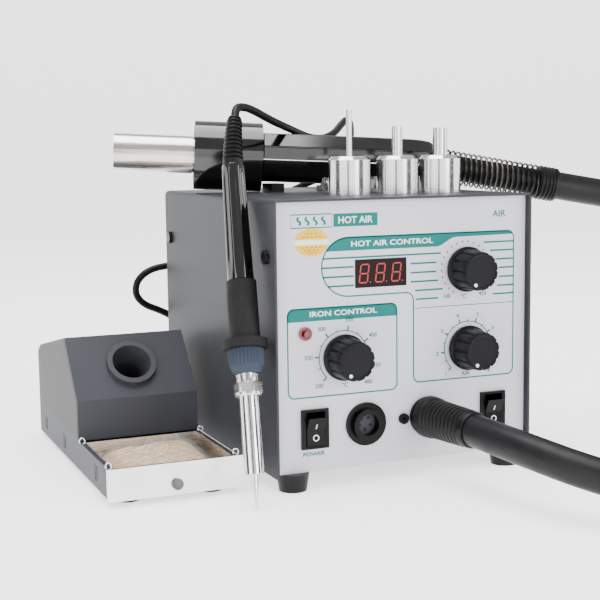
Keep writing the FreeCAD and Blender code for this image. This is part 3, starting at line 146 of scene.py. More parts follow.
def make_piece(name: str, shape: Shape, finish: "Finish", body: str, smooth: bool = True,
               crease: float = 35.0) -> bpy.types.Object:
    """Make an object of a shape, weld its seams and turn its faces outwards.

    Args:
        name: The piece's name.
        shape: Its points and faces.
        finish: What covers it.
        body: The CAD body that it moves with, or an empty text for none yet.
        smooth: Whether its faces are shaded smooth.
        crease: The angle in degrees past which an edge stays sharp.

    Returns:
        The new object, at the origin.
    """
    mesh = bpy.data.meshes.new(name)
    mesh.from_pydata(shape.points.tolist(), [], shape.faces)
    if shape.chart is not None:
        corners = np.zeros(len(mesh.loops), np.int32)
        mesh.loops.foreach_get("vertex_index", corners)
        layer = mesh.uv_layers.new(name="UVMap")
        layer.data.foreach_set("uv", shape.chart[corners].ravel().astype(np.float32))
    work = bmesh.new()
    work.from_mesh(mesh)
    bmesh.ops.remove_doubles(work, verts=work.verts, dist=2e-6)
    bmesh.ops.recalc_face_normals(work, faces=work.faces)
    for face in work.faces:
        face.smooth = smooth
    for edge in work.edges:
        edge.smooth = len(edge.link_faces) != 2 or edge.calc_face_angle(0.0) < math.radians(crease)
    work.to_mesh(mesh)
    work.free()
    piece = bpy.data.objects.new(name, mesh)
    bpy.context.scene.collection.objects.link(piece)
    mesh.materials.append(finish.material())
    if body:
        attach(piece, body)
    LOG.info("made %s: %d faces", name, len(mesh.polygons))
    return piece


def basis(direction: Array) -> tuple[Array, Array]:
    """Find two directions square to one direction and to each other."""
    straight = direction / np.linalg.norm(direction)
    helper = np.array((0.0, 0.0, 1.0)) if abs(straight[2]) < 0.9 else np.array((0.0, 1.0, 0.0))
    across = np.cross(helper, straight)
    across /= np.linalg.norm(across)
    return across, np.cross(straight, across)


def turned(profile: list[Pair], start: Array, direction: Array, flutes: Array | None = None,
           columns: int = 64) -> Shape:
    """Turn a profile about a line: point = start + s along + r(s) (cos a across + sin a up).

    Args:
        profile: Pairs of distance and radius in millimetres, from one end to the other.
        start: The line's first point, in metres.
        direction: Its direction.
        flutes: A factor on the radius for each point round, for all rows or row by row, or nothing.
        columns: How many steps round.

    Returns:
        The closed surface.
    """
    along, radius = np.array(profile, float).T * MM
    straight = direction / np.linalg.norm(direction)
    across, up = basis(straight)
    angle = np.linspace(0, TAU, columns + 1)
    factor = np.ones(columns + 1) if flutes is None else flutes
    ring = np.cos(angle)[:, None] * across + np.sin(angle)[:, None] * up
    reach = radius[:, None] * factor
    return grid_shape(start + along[:, None, None] * straight + reach[..., None] * ring)


def carried(path: Array, radius: Array | float, columns: int = 24) -> Shape:
    """Carry a circle along a path: point = path(s) + r(s) (cos a side(s) + sin a top(s)).

    The side turns with the path by the least turn from one point to the next.

    Args:
        path: The path's points, in metres.
        radius: One radius in metres, or one for each point.
        columns: How many steps round.

    Returns:
        The closed tube, with a chart of metres along and round it.
    """
    count = len(path)
    tangent = np.gradient(path, axis=0)
    tangent /= np.linalg.norm(tangent, axis=1)[:, None]
    side = np.zeros_like(path)
    side[0] = basis(tangent[0])[0]
    for step in range(1, count):
        turned_side = side[step - 1] - tangent[step] * np.dot(side[step - 1], tangent[step])
        side[step] = turned_side / np.linalg.norm(turned_side)
    top = np.cross(tangent, side)
    angle = np.linspace(0, TAU, columns + 1)
    reach = np.broadcast_to(np.asarray(radius, float), (count,))[:, None, None]
    ring = np.cos(angle)[None, :, None] * side[:, None] + np.sin(angle)[None, :, None] * top[:, None]
    points = path[:, None] + reach * ring
    first = np.broadcast_to(path[0], (1, columns + 1, 3))
    last = np.broadcast_to(path[-1], (1, columns + 1, 3))
    shape = grid_shape(np.concatenate((first, points, last)))
    steps = np.concatenate(((0.0,), np.cumsum(np.linalg.norm(np.diff(path, axis=0), axis=1))))
    length = np.concatenate((steps[:1], steps, steps[-1:]))
    round_way = angle * float(np.mean(reach))
    shape.chart = np.stack(np.broadcast_arrays(length[:, None], round_way[None]), axis=-1).reshape(-1, 2)
    return shape


def smooth_line(points: Array, name: str) -> Array:
    """Read the smooth line that a free spline draws with these points as its control points.

    Args:
        points: The route's points, in metres.
        name: A name for the curve while it exists.

    Returns:
        The points of the line, from its first end to its last.
    """
    curve = bpy.data.curves.new(name, "CURVE")
    curve.dimensions = "3D"
    curve.resolution_u = 10
    spline = curve.splines.new("NURBS")
    spline.points.add(len(points) - 1)
    spline.points.foreach_set("co", np.c_[points, np.ones(len(points))].ravel())
    spline.order_u = 3
    spline.use_endpoint_u = True
    holder = bpy.data.objects.new(name, curve)
    bpy.context.scene.collection.objects.link(holder)
    bpy.context.view_layer.update()
    mesh = bpy.data.meshes.new_from_object(holder)
    line = np.zeros(len(mesh.vertices) * 3)
    mesh.vertices.foreach_get("co", line)
    bpy.data.objects.remove(holder)
    bpy.data.curves.remove(curve)
    bpy.data.meshes.remove(mesh)
    return line.reshape(-1, 3)


# ---- Finishes -------------------------------------------------------------------------

class Grain(Enum):
    """Which way a metal's fine scratches run."""

    ALONG = "along"
    AROUND = "around"
    EVEN = "even"


class Tree:
    """A material's nodes, which end in one Principled shader."""

    def __init__(self, name: str) -> None:
        """Make the material with its shader."""
        self.material = bpy.data.materials.new(name)
        self.material.use_nodes = True
        self.nodes = self.material.node_tree.nodes
        self.links = self.material.node_tree.links
        self.shader = self.nodes["Principled BSDF"]
        self.normal = None

    def add(self, kind: str, inputs: dict | None = None, **settings: object) -> bpy.types.Node:
        """Add a node and fill its sockets.

        Args:
            kind: The node's type, without its common prefix.
            inputs: What goes in each socket: a value, or a socket to link.
            settings: The node's own settings.

        Returns:
            The node.
        """
        node = self.nodes.new(f"ShaderNode{kind}")
        for key, value in settings.items():
            setattr(node, key, value)
        for key, value in (inputs or {}).items():
            if isinstance(value, bpy.types.NodeSocket):
                self.links.new(value, node.inputs[key])
            else:
                node.inputs[key].default_value = value
        return node

    def spot(self, scale: Triple = (1, 1, 1), source: str = "Object") -> bpy.types.NodeSocket:
        """Give the point being shaded, stretched by a scale."""
        where = self.add("TexCoord")
        return self.add("Mapping", {"Vector": where.outputs[source], "Scale": scale}).outputs[0]

    def noise(self, vector: bpy.types.NodeSocket, scale: float, detail: float = 3.0) -> bpy.types.NodeSocket:
        """Give soft random values with features of one over scale, in metres."""
        inputs = {"Vector": vector, "Scale": scale, "Detail": detail}
        return self.add("TexNoise", inputs).outputs[0]

    def span(self, value: bpy.types.NodeSocket, low: float, high: float, first: float,
             last: float) -> bpy.types.NodeSocket:
        """Move values from low..high to first..last, held at the ends."""
        inputs = {"Value": value, "From Min": low, "From Max": high, "To Min": first, "To Max": last}
        return self.add("MapRange", inputs).outputs[0]

    def between(self, share: bpy.types.NodeSocket, first: Colour, last: Colour) -> bpy.types.NodeSocket:
        """Mix two colours by a share."""
        mix = self.add("Mix", {0: share, 6: (*first, 1), 7: (*last, 1)}, data_type="RGBA")
        return mix.outputs[2]

    def bump(self, height: bpy.types.NodeSocket, depth: float) -> None:
        """Raise the surface by a height times a depth in metres, on top of earlier bumps."""
        inputs = {"Height": height, "Distance": depth, "Strength": 1.0}
        if self.normal is not None:
            inputs["Normal"] = self.normal
        self.normal = self.add("Bump", inputs).outputs[0]
        self.links.new(self.normal, self.shader.inputs["Normal"])

    def feed(self, socket: str, value: object) -> None:
        """Set or link one of the shader's own sockets."""
        if isinstance(value, bpy.types.NodeSocket):
            self.links.new(value, self.shader.inputs[socket])
        else:
            self.shader.inputs[socket].default_value = value


@dataclass(frozen=True)
class Finish:
    """What every finish has: a name, a colour and how rough it is."""

    name: str
    colour: Colour
    roughness: float = 0.5

    def dress(self, tree: Tree) -> None:
        """Fill the tree. Each finish has its own."""
        raise NotImplementedError

    def material(self) -> bpy.types.Material:
        """Give the finish's material, made at its first use."""
        known = bpy.data.materials.get(self.name)
        if known is not None:
            return known
        tree = Tree(self.name)
        tree.feed("Base Color", (*self.colour, 1))
        tree.feed("Roughness", self.roughness)
        self.dress(tree)
        return tree.material


@dataclass(frozen=True)
class Enamel(Finish):
    """Baked paint on steel: a fine orange-peel texture with slight cloudiness."""

    grain: float = 1400.0
    depth: float = 0.00003
    cloud: float = 0.06

    def dress(self, tree: Tree) -> None:
        """Speckle the colour a little and raise a fine grain."""
        spot = tree.spot()
        fine = tree.noise(spot, self.grain, 2.0)
        broad = tree.noise(spot, 18.0, 3.0)
        dark = tuple(channel * (1 - self.cloud) for channel in self.colour)
        light = tuple(min(1.0, channel * (1 + self.cloud)) for channel in self.colour)
        tree.feed("Base Color", tree.between(tree.span(broad, 0.35, 0.65, 0, 1), dark, light))
        low, high = self.roughness - 0.05, self.roughness + 0.07
        tree.feed("Roughness", tree.span(fine, 0.3, 0.7, low, high))
        tree.feed("Specular IOR Level", 0.25)
        tree.bump(fine, self.depth)


@dataclass(frozen=True)
class Plastic(Finish):
    """Moulded plastic: a faint spark-eroded grain, or a polished gloss."""

    grain: float = 2600.0
    depth: float = 0.000015
    coat: float = 0.0

    def dress(self, tree: Tree) -> None:
        """Grain the surface and smear the gloss where hands have been."""
        spot = tree.spot()
        smear = tree.noise(spot, 60.0, 4.0)
        low, high = max(0.02, self.roughness - 0.04), self.roughness + 0.08
        tree.feed("Roughness", tree.span(smear, 0.35, 0.7, low, high))
        tree.feed("Specular IOR Level", 0.14 if self.coat == 0 else 0.5)
        tree.feed("Coat Weight", self.coat)
        tree.feed("Coat Roughness", 0.08)
        tree.bump(tree.noise(spot, self.grain, 1.0), self.depth)


@dataclass(frozen=True)
class Rubber(Finish):
    """Black rubber: matt, with dust in its grain and a soft sheen."""

    dust: float = 0.5
    depth: float = 0.00005

    def dress(self, tree: Tree) -> None:
        """Lay pale dust in the grain's pits."""
        spot = tree.spot()
        grain = tree.noise(spot, 1800.0, 3.0)
        patch = tree.noise(spot, 90.0, 3.0)
        share = tree.span(grain, 0.6, 0.78, 0.0, self.dust)
        pale = tuple(channel * 2.2 + 0.02 for channel in self.colour)
        tree.feed("Base Color", tree.between(share, self.colour, pale))
        tree.feed("Roughness", tree.span(patch, 0.3, 0.7, self.roughness - 0.06, self.roughness + 0.08))
        tree.feed("Specular IOR Level", 0.22)
        tree.bump(grain, self.depth)


@dataclass(frozen=True)
class Metal(Finish):
    """Bare metal with fine scratches along, around or without a direction."""

    axis: Triple = (0.0, 0.0, 1.0)
    grain: Grain = Grain.EVEN
    tint: Colour = (0.5, 0.45, 0.4)
    stain: float = 0.25

    def scratches(self, tree: Tree) -> bpy.types.NodeSocket:
        """Give the scratch pattern: noise on the point, its part along the axis squeezed or kept."""
        spot = tree.spot()
        if self.grain is Grain.EVEN:
            return tree.noise(spot, 700.0, 4.0)
        level = tree.add("VectorMath", {0: spot, 1: self.axis}, operation="DOT_PRODUCT").outputs["Value"]
        if self.grain is Grain.AROUND:
            inputs = {"W": level, "Scale": 2600.0, "Detail": 2.0}
            return tree.add("TexNoise", inputs, noise_dimensions="1D").outputs[0]
        shift = tree.add("VectorMath", {0: self.axis, "Scale": level}, operation="SCALE").outputs[0]
        flat = tree.add("VectorMath", {0: spot, 1: shift}, operation="SUBTRACT").outputs[0]
        slight = tree.add("VectorMath", {0: shift, "Scale": 0.02}, operation="SCALE").outputs[0]
        return tree.noise(tree.add("VectorMath", {0: flat, 1: slight}).outputs[0], 2400.0, 2.0)

    def dress(self, tree: Tree) -> None:
        """Scratch the metal and stain it in broad patches."""
        scratches = self.scratches(tree)
        patch = tree.span(tree.noise(tree.spot(), 45.0, 4.0), 0.45, 0.75, 0.0, self.stain)
        tree.feed("Base Color", tree.between(patch, self.colour, self.tint))
        tree.feed("Metallic", 1.0)
        low, high = max(0.04, self.roughness - 0.07), self.roughness + 0.1
        tree.feed("Roughness", tree.span(scratches, 0.3, 0.7, low, high))
        tree.bump(scratches, 0.000012)


@dataclass(frozen=True)
class Ink(Finish):
    """Screen-printed ink, slightly uneven where it dried."""

    def dress(self, tree: Tree) -> None:
        """Vary the ink's strength a little."""
        thin = tuple(channel * 0.92 + 0.005 for channel in self.colour)
        share = tree.span(tree.noise(tree.spot(), 500.0, 2.0), 0.4, 0.7, 0.0, 0.5)
        tree.feed("Base Color", tree.between(share, self.colour, thin))
        tree.feed("Specular IOR Level", 0.15)


@dataclass(frozen=True)
class Glow(Finish):
    """A lit part: a dark base that sends out its own colour."""

    light: Colour = (1.0, 0.1, 0.1)
    strength: float = 1.0

    def dress(self, tree: Tree) -> None:
        """Vary the light a little, as through a diffuser."""
        dim = tuple(channel * 0.75 for channel in self.light)
        share = tree.noise(tree.spot(), 900.0, 2.0)
        tree.feed("Emission Color", tree.between(share, dim, self.light))
        tree.feed("Emission Strength", self.strength)


@dataclass(frozen=True)
class Cellulose(Finish):
    """A cellulose sponge: pores of two sizes in a tan body."""

    def dress(self, tree: Tree) -> None:
        """Darken the large pores with painted shade, and sink the pores."""
        spot = tree.spot()
        inputs = {"Vector": spot, "Scale": 900.0, "Randomness": 1.0}
        small = tree.add("TexVoronoi", inputs).outputs[0]
        large = tree.add("TexVoronoi", {**inputs, "Scale": 330.0}).outputs[0]
        pores = tree.span(small, 0.1, 0.5, 0.0, 1.0)
        holes = tree.span(large, 0.12, 0.4, 0.0, 1.0)
        # the large pores are darker: painted shade inside the holes
        dark = tuple(channel * 0.72 for channel in self.colour)
        tree.feed("Base Color", tree.between(holes, dark, self.colour))
        tree.feed("Sheen Weight", 0.2)
        tree.bump(pores, 0.00015)
        tree.bump(holes, 0.0004)


@dataclass(frozen=True)
class Backdrop(Finish):
    """Backdrop paper, lit through from behind so that it stays white."""

    glow: float = 1.5

    def dress(self, tree: Tree) -> None:
        """Let the paper send out light of its own, with faint fibres in it."""
        fibres = tree.span(tree.noise(tree.spot(), 30.0, 2.0), 0.3, 0.7, self.glow * 0.99, self.glow)
        tree.feed("Emission Color", (1, 1, 1, 1))
        tree.feed("Emission Strength", fibres)
        tree.feed("Specular IOR Level", 0.0)


@dataclass(frozen=True)
class Film(Finish):
    """Clear thin film, creased so that it glints."""

    share: float = 0.13

    def dress(self, tree: Tree) -> None:
        """Crease the film and let the light through."""
        tree.feed("Alpha", self.share)
        tree.feed("Specular IOR Level", 1.0)
        tree.feed("Coat Weight", 1.0)
        tree.feed("Coat Roughness", 0.05)
        tree.bump(tree.noise(tree.spot(), 160.0, 3.0), 0.0012)


STEEL = (0.66, 0.66, 0.67)
GUN_AXIS = (0.9551, -0.2920, -0.0501)
IRON_AXIS = (0.0704, 0.3380, 0.9385)
TEAL = Ink("teal_ink", (0.0, 0.12, 0.11), 0.5)
WHITE = Ink("white_ink", shade(245, 247, 246), 0.4)
GOLD = Ink("gold_label", (0.66, 0.40, 0.02), 0.5)
BROWN = Ink("brown_ink", shade(150, 110, 40), 0.4)
HOSE_RUBBER = Rubber("hose_rubber_skin", shade(38, 38, 41), 0.42, 0.5, 0.00006)
CORD_RUBBER = Rubber("cord_rubber_skin", shade(30, 30, 32), 0.45, 0.3, 0.00003)
BOOT_RUBBER = Rubber("boot_rubber", shade(28, 28, 30), 0.4, 0.3, 0.00003)
GRIP_RUBBER = Rubber("grip_rubber", shade(42, 42, 43), 0.62, 0.9, 0.00012)
GLOSS_BLACK = Plastic("gloss_black", shade(12, 12, 14), 0.12, 900.0, 0.000004, 0.6)
COLLAR_BLUE = Plastic("collar_blue", shade(84, 92, 108), 0.5)
SPRING_WIRE = Metal("spring_wire", shade(40, 40, 44), 0.3)
DIGIT_GLOW = Glow("digit_glow", shade(60, 6, 8), 0.4, (0.85, 0.004, 0.008), 1.1)
SPONGE_TAN = Cellulose("sponge_tan", shade(240, 204, 150), 0.85)
# near-black enamel for painted shade: the housing's dark left side and the socket's holes
PAINTED_SHADE_BLACK = Enamel("painted_shade_enamel", shade(16, 16, 18), 0.45, 1100.0, 0.00003)
WRAP_FILM = Film("wrap_film", shade(245, 245, 248), 0.12)

SLOT_FINISHES: dict[str, Finish] = {
    "cover_paint": Enamel("cover_enamel", shade(76, 78, 84), 0.48),
    "case_steel": Enamel("case_enamel", shade(70, 72, 76), 0.5),
    "panel_paint": Enamel("panel_enamel", shade(222, 222, 228), 0.5, 1100.0, 0.00002, 0.012),
    "black_rubber": BOOT_RUBBER,
    "black_steel": Metal("blackened_steel", shade(70, 70, 74), 0.35),
    "display_window": Plastic("window_plastic", shade(40, 4, 10), 0.3, 900.0, 0.000002),
    "red_lamp": Plastic("lamp_red", shade(130, 12, 24), 0.1, 900.0, 0.000002, 0.5),
    "knob_plastic": Plastic("knob_black", shade(34, 35, 40), 0.42, 2200.0, 0.00002),
    "switch_plastic": Plastic("switch_black", shade(26, 27, 29), 0.34),
    "bright_steel": Metal("bright_steel_turned", STEEL, 0.22),
    "socket_black": Plastic("socket_plastic", shade(24, 24, 26), 0.22),
    "board_green": Enamel("board_lacquer", shade(30, 92, 56), 0.4, 700.0),
    "core_steel": Metal("core_laminations", shade(120, 120, 124), 0.5, (0, 1, 0), Grain.AROUND),
    "pump_casting": Metal("pump_cast", shade(170, 170, 174), 0.5),
    "heater_pipe": Metal("pipe_steel", (0.71, 0.69, 0.66), 0.2, GUN_AXIS, Grain.ALONG,
                         (0.58, 0.5, 0.43), 0.5),
    "ceramic": Plastic("ceramic_former", shade(225, 218, 204), 0.7),
    "gun_plastic": GLOSS_BLACK,
    "nozzle_steel": Metal("nozzle_spun", (0.74, 0.74, 0.75), 0.15, (0, 0, 1), Grain.AROUND),
    "clamp_screw": Metal("screw_chrome", (0.7, 0.7, 0.71), 0.15),
    "tip_plating": Metal("tip_plated", (0.7, 0.71, 0.74), 0.18, IRON_AXIS, Grain.AROUND),
    "collar_plastic": COLLAR_BLUE,
    "handle_plastic": GLOSS_BLACK,
    "stand_paint": Enamel("stand_enamel", shade(88, 90, 97), 0.5, 1100.0, 0.00005),
    "holder_enamel": Enamel("holder_enamelled", shade(92, 93, 98), 0.42),
    "tray_steel": Metal("tray_sheet", (0.78, 0.78, 0.79), 0.22, (1, 0, 0), Grain.ALONG),
    "sponge": SPONGE_TAN,
    "hose_rubber": HOSE_RUBBER,
    "cord_rubber": CORD_RUBBER,
}

NODE_FINISHES: dict[str, Finish] = {
    "iron_sleeve": Metal("sleeve_steel", (0.76, 0.76, 0.77), 0.14, IRON_AXIS, Grain.ALONG),
    "iron_nut": Metal("nut_nickel", (0.72, 0.71, 0.68), 0.2, IRON_AXIS, Grain.AROUND),
    "iron_grip": GRIP_RUBBER,
    # the insert's own grey, lightened as painted light because the lamps barely reach into its deep recess
    "iron_socket_insert": Plastic("insert_grey_painted_light", shade(96, 98, 104), 0.5),
}


def dress_cad_nodes() -> None:
    """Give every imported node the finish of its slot, or its own."""
    for part in frame["record"]["subparts"]:
        finish = NODE_FINISHES.get(part["node"], SLOT_FINISHES[part["material_slot"]])
        node = frame["nodes"][part["node"]]
        if not node.material_slots:
            node.data.materials.append(None)
        for slot in node.material_slots:
            slot.material = finish.material()


# ---- Studio ---------------------------------------------------------------------------

@dataclass
class Studio:
    """The pale floor that curves up far away, the soft lights and the camera."""

    azimuth: float = -22.75
    elevation: float = 7.03
    distance: float = 0.7157
    aim: Triple = (-22.4, 0.0, 87.2)
    roll: float = -0.729
    lens: float = 73.25
    floor_radius: float = 2.6
    floor_rise: float = 1.8
    card_distance: float = 1.1
    card_low: float = 0.02
    card_high: float = 0.75

    def camera(self) -> None:
        """Stand the camera round the aim by its azimuth and elevation, then roll it."""
        data = bpy.data.cameras.new("camera")
        data.lens = self.lens
        data.sensor_width = 36.0
        data.clip_end = 50.0
        camera = bpy.data.objects.new("camera", data)
        bpy.context.scene.collection.objects.link(camera)
        aim = Vector(place(self.aim))
        turn, rise = math.radians(self.azimuth), math.radians(self.elevation)
        back = Vector((math.sin(turn) * math.cos(rise), -math.cos(turn) * math.cos(rise), math.sin(rise)))
        camera.location = aim + back * self.distance
        facing = (-back).to_track_quat("-Z", "Y").to_matrix()
        camera.rotation_euler = (facing @ Matrix.Rotation(math.radians(self.roll), 3, "Z")).to_euler()
        bpy.context.scene.camera = camera

    def floor(self) -> None:
        """Make the floor: flat to its radius, then height = rise (1 - cos a) over a quarter turn."""
        quarter = np.linspace(0, math.pi / 2, 13)
        radius = np.concatenate(((0.0, self.floor_radius),
                                 self.floor_radius + self.floor_rise * np.sin(quarter)))
        height = np.concatenate(((0.0, 0.0), self.floor_rise * (1 - np.cos(quarter))))
        angle = np.linspace(0, TAU, 65)
        rows = np.stack((radius[:, None] * np.cos(angle), radius[:, None] * np.sin(angle),
                         np.broadcast_to(height[:, None], (len(radius), len(angle)))), axis=-1)
        floor = make_piece("floor", grid_shape(rows + np.array(MIDDLE)),
                           Backdrop("floor_paper", (0.86, 0.86, 0.86), 0.9), "")
        if floor.data.polygons[0].normal.z < 0:
            floor.data.flip_normals()

    def lamp(self, name: str, at: Triple, size: Pair, power: float) -> None:
        """Hang one square soft light that faces the case.

        Args:
            name: The lamp's name.
            at: Its place in metres about the case's middle.
            size: Its two sides in metres.
            power: Its power in watts.
        """
        data = bpy.data.lights.new(name, "AREA")
        data.shape = "RECTANGLE"
        data.size, data.size_y = size
        data.energy = power
        lamp = bpy.data.objects.new(name, data)
        bpy.context.scene.collection.objects.link(lamp)
        lamp.location = MIDDLE + Vector(at)
        aim = MIDDLE + Vector((0, 0, 0.1)) - lamp.location
        lamp.rotation_euler = aim.to_track_quat("-Z", "Y").to_euler()

    def dark_card(self, number: int, turn: float, width: float) -> None:
        """Stand a curved black card round the case that only reflections see: (d sin a, -d cos a, z).

        Args:
            number: Its number, for its name.
            turn: Its middle's direction from the case, in degrees.
            width: The angle it spans, in degrees.
        """
        angle = np.radians(turn + width * np.linspace(-0.5, 0.5, 9))
        level = np.linspace(self.card_low, self.card_high, 3)[:, None]
        ring = self.card_distance * np.stack((np.sin(angle), -np.cos(angle)), axis=-1)
        rows = np.concatenate((np.broadcast_to(ring, (3, 9, 2)),
                               np.broadcast_to(level, (3, 9))[..., None]), axis=-1)
        card = make_piece(f"dark_card_{number}", grid_shape(rows + np.array(MIDDLE)),
                          Enamel("card_black", (0.02, 0.02, 0.02), 0.9), "")
        card.visible_camera = False
        card.visible_shadow = False
        card.visible_diffuse = False

    def build(self) -> None:
        """Make the camera, the floor, the lights and the pale surroundings."""
        self.camera()
        self.floor()
        self.lamp("top_light", (-0.2, 0.1, 1.5), (1.4, 1.0), 34.0)
        self.lamp("left_light", (-1.3, -0.7, 0.8), (0.5, 1.1), 6.0)
        self.lamp("front_light", (0.5, -1.6, 0.6), (0.6, 0.9), 15.0)
        self.lamp("right_light", (1.2, -0.9, 0.7), (0.4, 1.1), 10.0)
        cards = ((self.azimuth - 8.0, 9.0), (self.azimuth + 62.0, 30.0),
                 (self.azimuth - 66.0, 26.0), (self.azimuth + 150.0, 40.0))
        for number, (turn, width) in enumerate(cards, start=1):
            self.dark_card(number, turn, width)
        world = bpy.data.worlds.new("surroundings")
        world.use_nodes = True
        world.node_tree.nodes["Background"].inputs["Color"].default_value = (1, 1, 1, 1)
        world.node_tree.nodes["Background"].inputs["Strength"].default_value = 0.72
        bpy.context.scene.world = world


# ---- Cords ----------------------------------------------------------------------------

@dataclass
class AirHose:
    """The rubber hose, from the front boot along the bench and up to the gun."""

    radius: float = 8.4
    route: tuple[Triple, ...] = (
        (17.6, -131.3, 32.5), (21.7, -165.0, 31.0), (40.0, -202.0, 23.5), (76.0, -236.0, 14.0),
        (128.0, -256.0, 9.0), (187.0, -257.0, 8.5), (243.0, -237.0, 8.5), (288.0, -199.0, 10.0),
        (316.0, -148.0, 22.0), (324.0, -96.0, 50.0), (304.0, -60.0, 90.0), (260.0, -43.0, 124.0),
        (205.0, -40.0, 139.0), (168.0, -30.1, 145.6), (139.5, -21.5, 151.0),
    )

    def build(self) -> None:
        """Carry a circle along the smooth line of the route."""
        path = smooth_line(place(self.route), "hose_line")
        hose = make_piece("air_hose_skin", carried(path, self.radius * MM, 40), HOSE_RUBBER, "")
        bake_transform(hose)
        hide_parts("air_hose")


@dataclass
class IronCord:
    """The iron's cord: over the gun, down behind the case and wound into a coil."""

    radius: float = 2.25
    route: tuple[Triple, ...] = (
        (-76.2, -42.6, 191.4), (-74.9, -39.8, 195.6), (-71.0, -34.4, 197.8), (-63.6, -26.0, 197.8),
        (-54.5, -15.0, 196.2), (-44.0, -2.5, 193.6), (-33.0, 9.5, 190.8), (-21.5, 21.5, 188.2),
        (-10.5, 31.0, 185.4), (-1.0, 35.3, 182.2), (8.5, 35.5, 181.0), (16.5, 36.0, 184.0),
        (22.5, 38.2, 189.5), (28.5, 43.5, 193.0), (34.5, 51.0, 192.0), (39.0, 58.5, 186.5),
        (41.5, 66.0, 178.0), (41.5, 74.0, 168.5), (37.5, 82.5, 160.5), (29.5, 91.0, 155.0),
        (17.5, 98.5, 149.5), (3.0, 104.0, 141.0), (-13.0, 107.0, 129.5), (-31.0, 108.0, 116.5),
        (-50.5, 108.0, 104.8), (-68.5, 108.6, 101.0), (-81.5, 109.0, 99.2), (-90.5, 109.5, 92.5),
        (-92.0, 110.0, 83.0), (-86.0, 110.0, 75.8), (-75.5, 110.0, 71.8), (-58.0, 110.0, 62.0),
        (-43.0, 109.0, 48.0), (-33.0, 107.0, 32.5), (-27.0, 106.0, 17.0), (-24.0, 112.0, 6.0),
        (-22.5, 125.5, 2.5),
    )
    coil_place: Pair = (2.0, 140.0)
    coil_inner: float = 22.2
    coil_outer: float = 26.8
    coil_low: float = 2.35
    coil_high: float = 6.85
    turns: float = 3.25
    points_a_turn: int = 16

    def coil(self) -> Array:
        """Wind the turns: outer low, inner low, inner high, outer high, moved over in a fifth of a turn."""
        turn = np.arange(1, int(self.turns * self.points_a_turn) + 1) / self.points_a_turn
        station = np.floor(turn) + np.clip((turn % 1 - 0.8) / 0.2, 0, 1)
        radius = np.interp(station, (0, 1, 2, 3),
                           (self.coil_outer, self.coil_inner, self.coil_inner, self.coil_outer))
        level = np.interp(station, (0, 1, 2, 3),
                          (self.coil_low, self.coil_low, self.coil_high, self.coil_high))
        angle = math.pi - TAU * turn
        across = self.coil_place[0] + radius * np.cos(angle)
        return np.stack((across, self.coil_place[1] + radius * np.sin(angle), level), axis=1)

    def build(self) -> None:
        """Carry a circle along the route and the coil, up to the plug's sleeve."""
        low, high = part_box("iron_plug")
        sleeve = (Vector((low.x, (low.y + high.y) / 2, (low.z + high.z) / 2)) - MIDDLE) / MM
        points = np.concatenate((np.array(self.route), self.coil(), [tuple(sleeve)]))
        path = smooth_line(place(points), "cord_line")
        cord = make_piece("iron_cord_skin", carried(path, self.radius * MM, 16), CORD_RUBBER, "")
        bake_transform(cord)
        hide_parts("iron_cord", "iron_cord_coil")


# ---- Panel print ----------------------------------------------------------------------

def arc(middle: Pair, radius: float, first: float, last: float, steps: int = 14) -> Array:
    """Give points of an arc: middle + radius (cos a, sin a), from one angle to another in degrees."""
    angle = np.radians(np.linspace(first, last, steps))
    return np.stack((middle[0] + radius * np.cos(angle), middle[1] + radius * np.sin(angle)), axis=1)


def raised(flat: Array, depth: Array | float, face: float) -> Array:
    """Stand flat points (x, z) in millimetres in front of an upright face.

    Args:
        flat: The points.
        depth: How far in front, in millimetres.
        face: The face's y in metres.

    Returns:
        The points in metres.
    """
    depth = np.broadcast_to(depth, flat.shape[:-1])
    return np.stack((flat[..., 0] * MM + MIDDLE.x, face - depth * MM, flat[..., 1] * MM), axis=-1)


def ribbon(line: Array, width: float, face: float, proud: float = 0.06, ring: bool = False) -> Shape:
    """Print a line on a face: point = line + side times half the width, from behind the face to its front.

    Args:
        line: Points (x, z) in millimetres.
        width: The line's width in millimetres.
        face: The face's y in metres.
        proud: How far the print stands out, in millimetres.
        ring: Whether the line comes back to its first point.

    Returns:
        The closed strip.
    """
    line = np.asarray(line, float)
    if ring:
        line = np.concatenate((line, line[:1]))
    tangent = np.gradient(line, axis=0)
    if ring:
        tangent[0] = tangent[-1] = line[1] - line[-2]
    tangent /= np.linalg.norm(tangent, axis=1)[:, None]
    side = np.stack((-tangent[:, 1], tangent[:, 0]), axis=1) * width / 2
    flat = np.stack((line + side, line + side, line - side, line - side, line + side), axis=1)
    depth = np.array((INK_ROOT, proud, proud, INK_ROOT, INK_ROOT))
    rows = raised(flat, depth, face)
    if not ring:
        first, last = (np.broadcast_to(row[:4].mean(axis=0), (1, 5, 3)) for row in (rows[0], rows[-1]))
        rows = np.concatenate((first, rows, last))
    return grid_shape(rows)


def plate(outline: Array, face: float, proud: float = 0.06) -> Shape:
    """Print a filled outline on a face: its points behind the face and in front of it, joined all round."""
    outline = np.asarray(outline, float)
    count = len(outline)
    points = np.concatenate((raised(outline, INK_ROOT, face), raised(outline, proud, face)))
    sides = [(k, (k + 1) % count, count + (k + 1) % count, count + k) for k in range(count)]
    return Shape(points, [tuple(range(count)), tuple(range(count, 2 * count)), *sides])


def bar(low: Pair, high: Pair, face: float, proud: float = 0.06) -> Shape:
    """Print a filled rectangle between two corners."""
    return plate([low, (high[0], low[1]), high, (low[0], high[1])], face, proud)


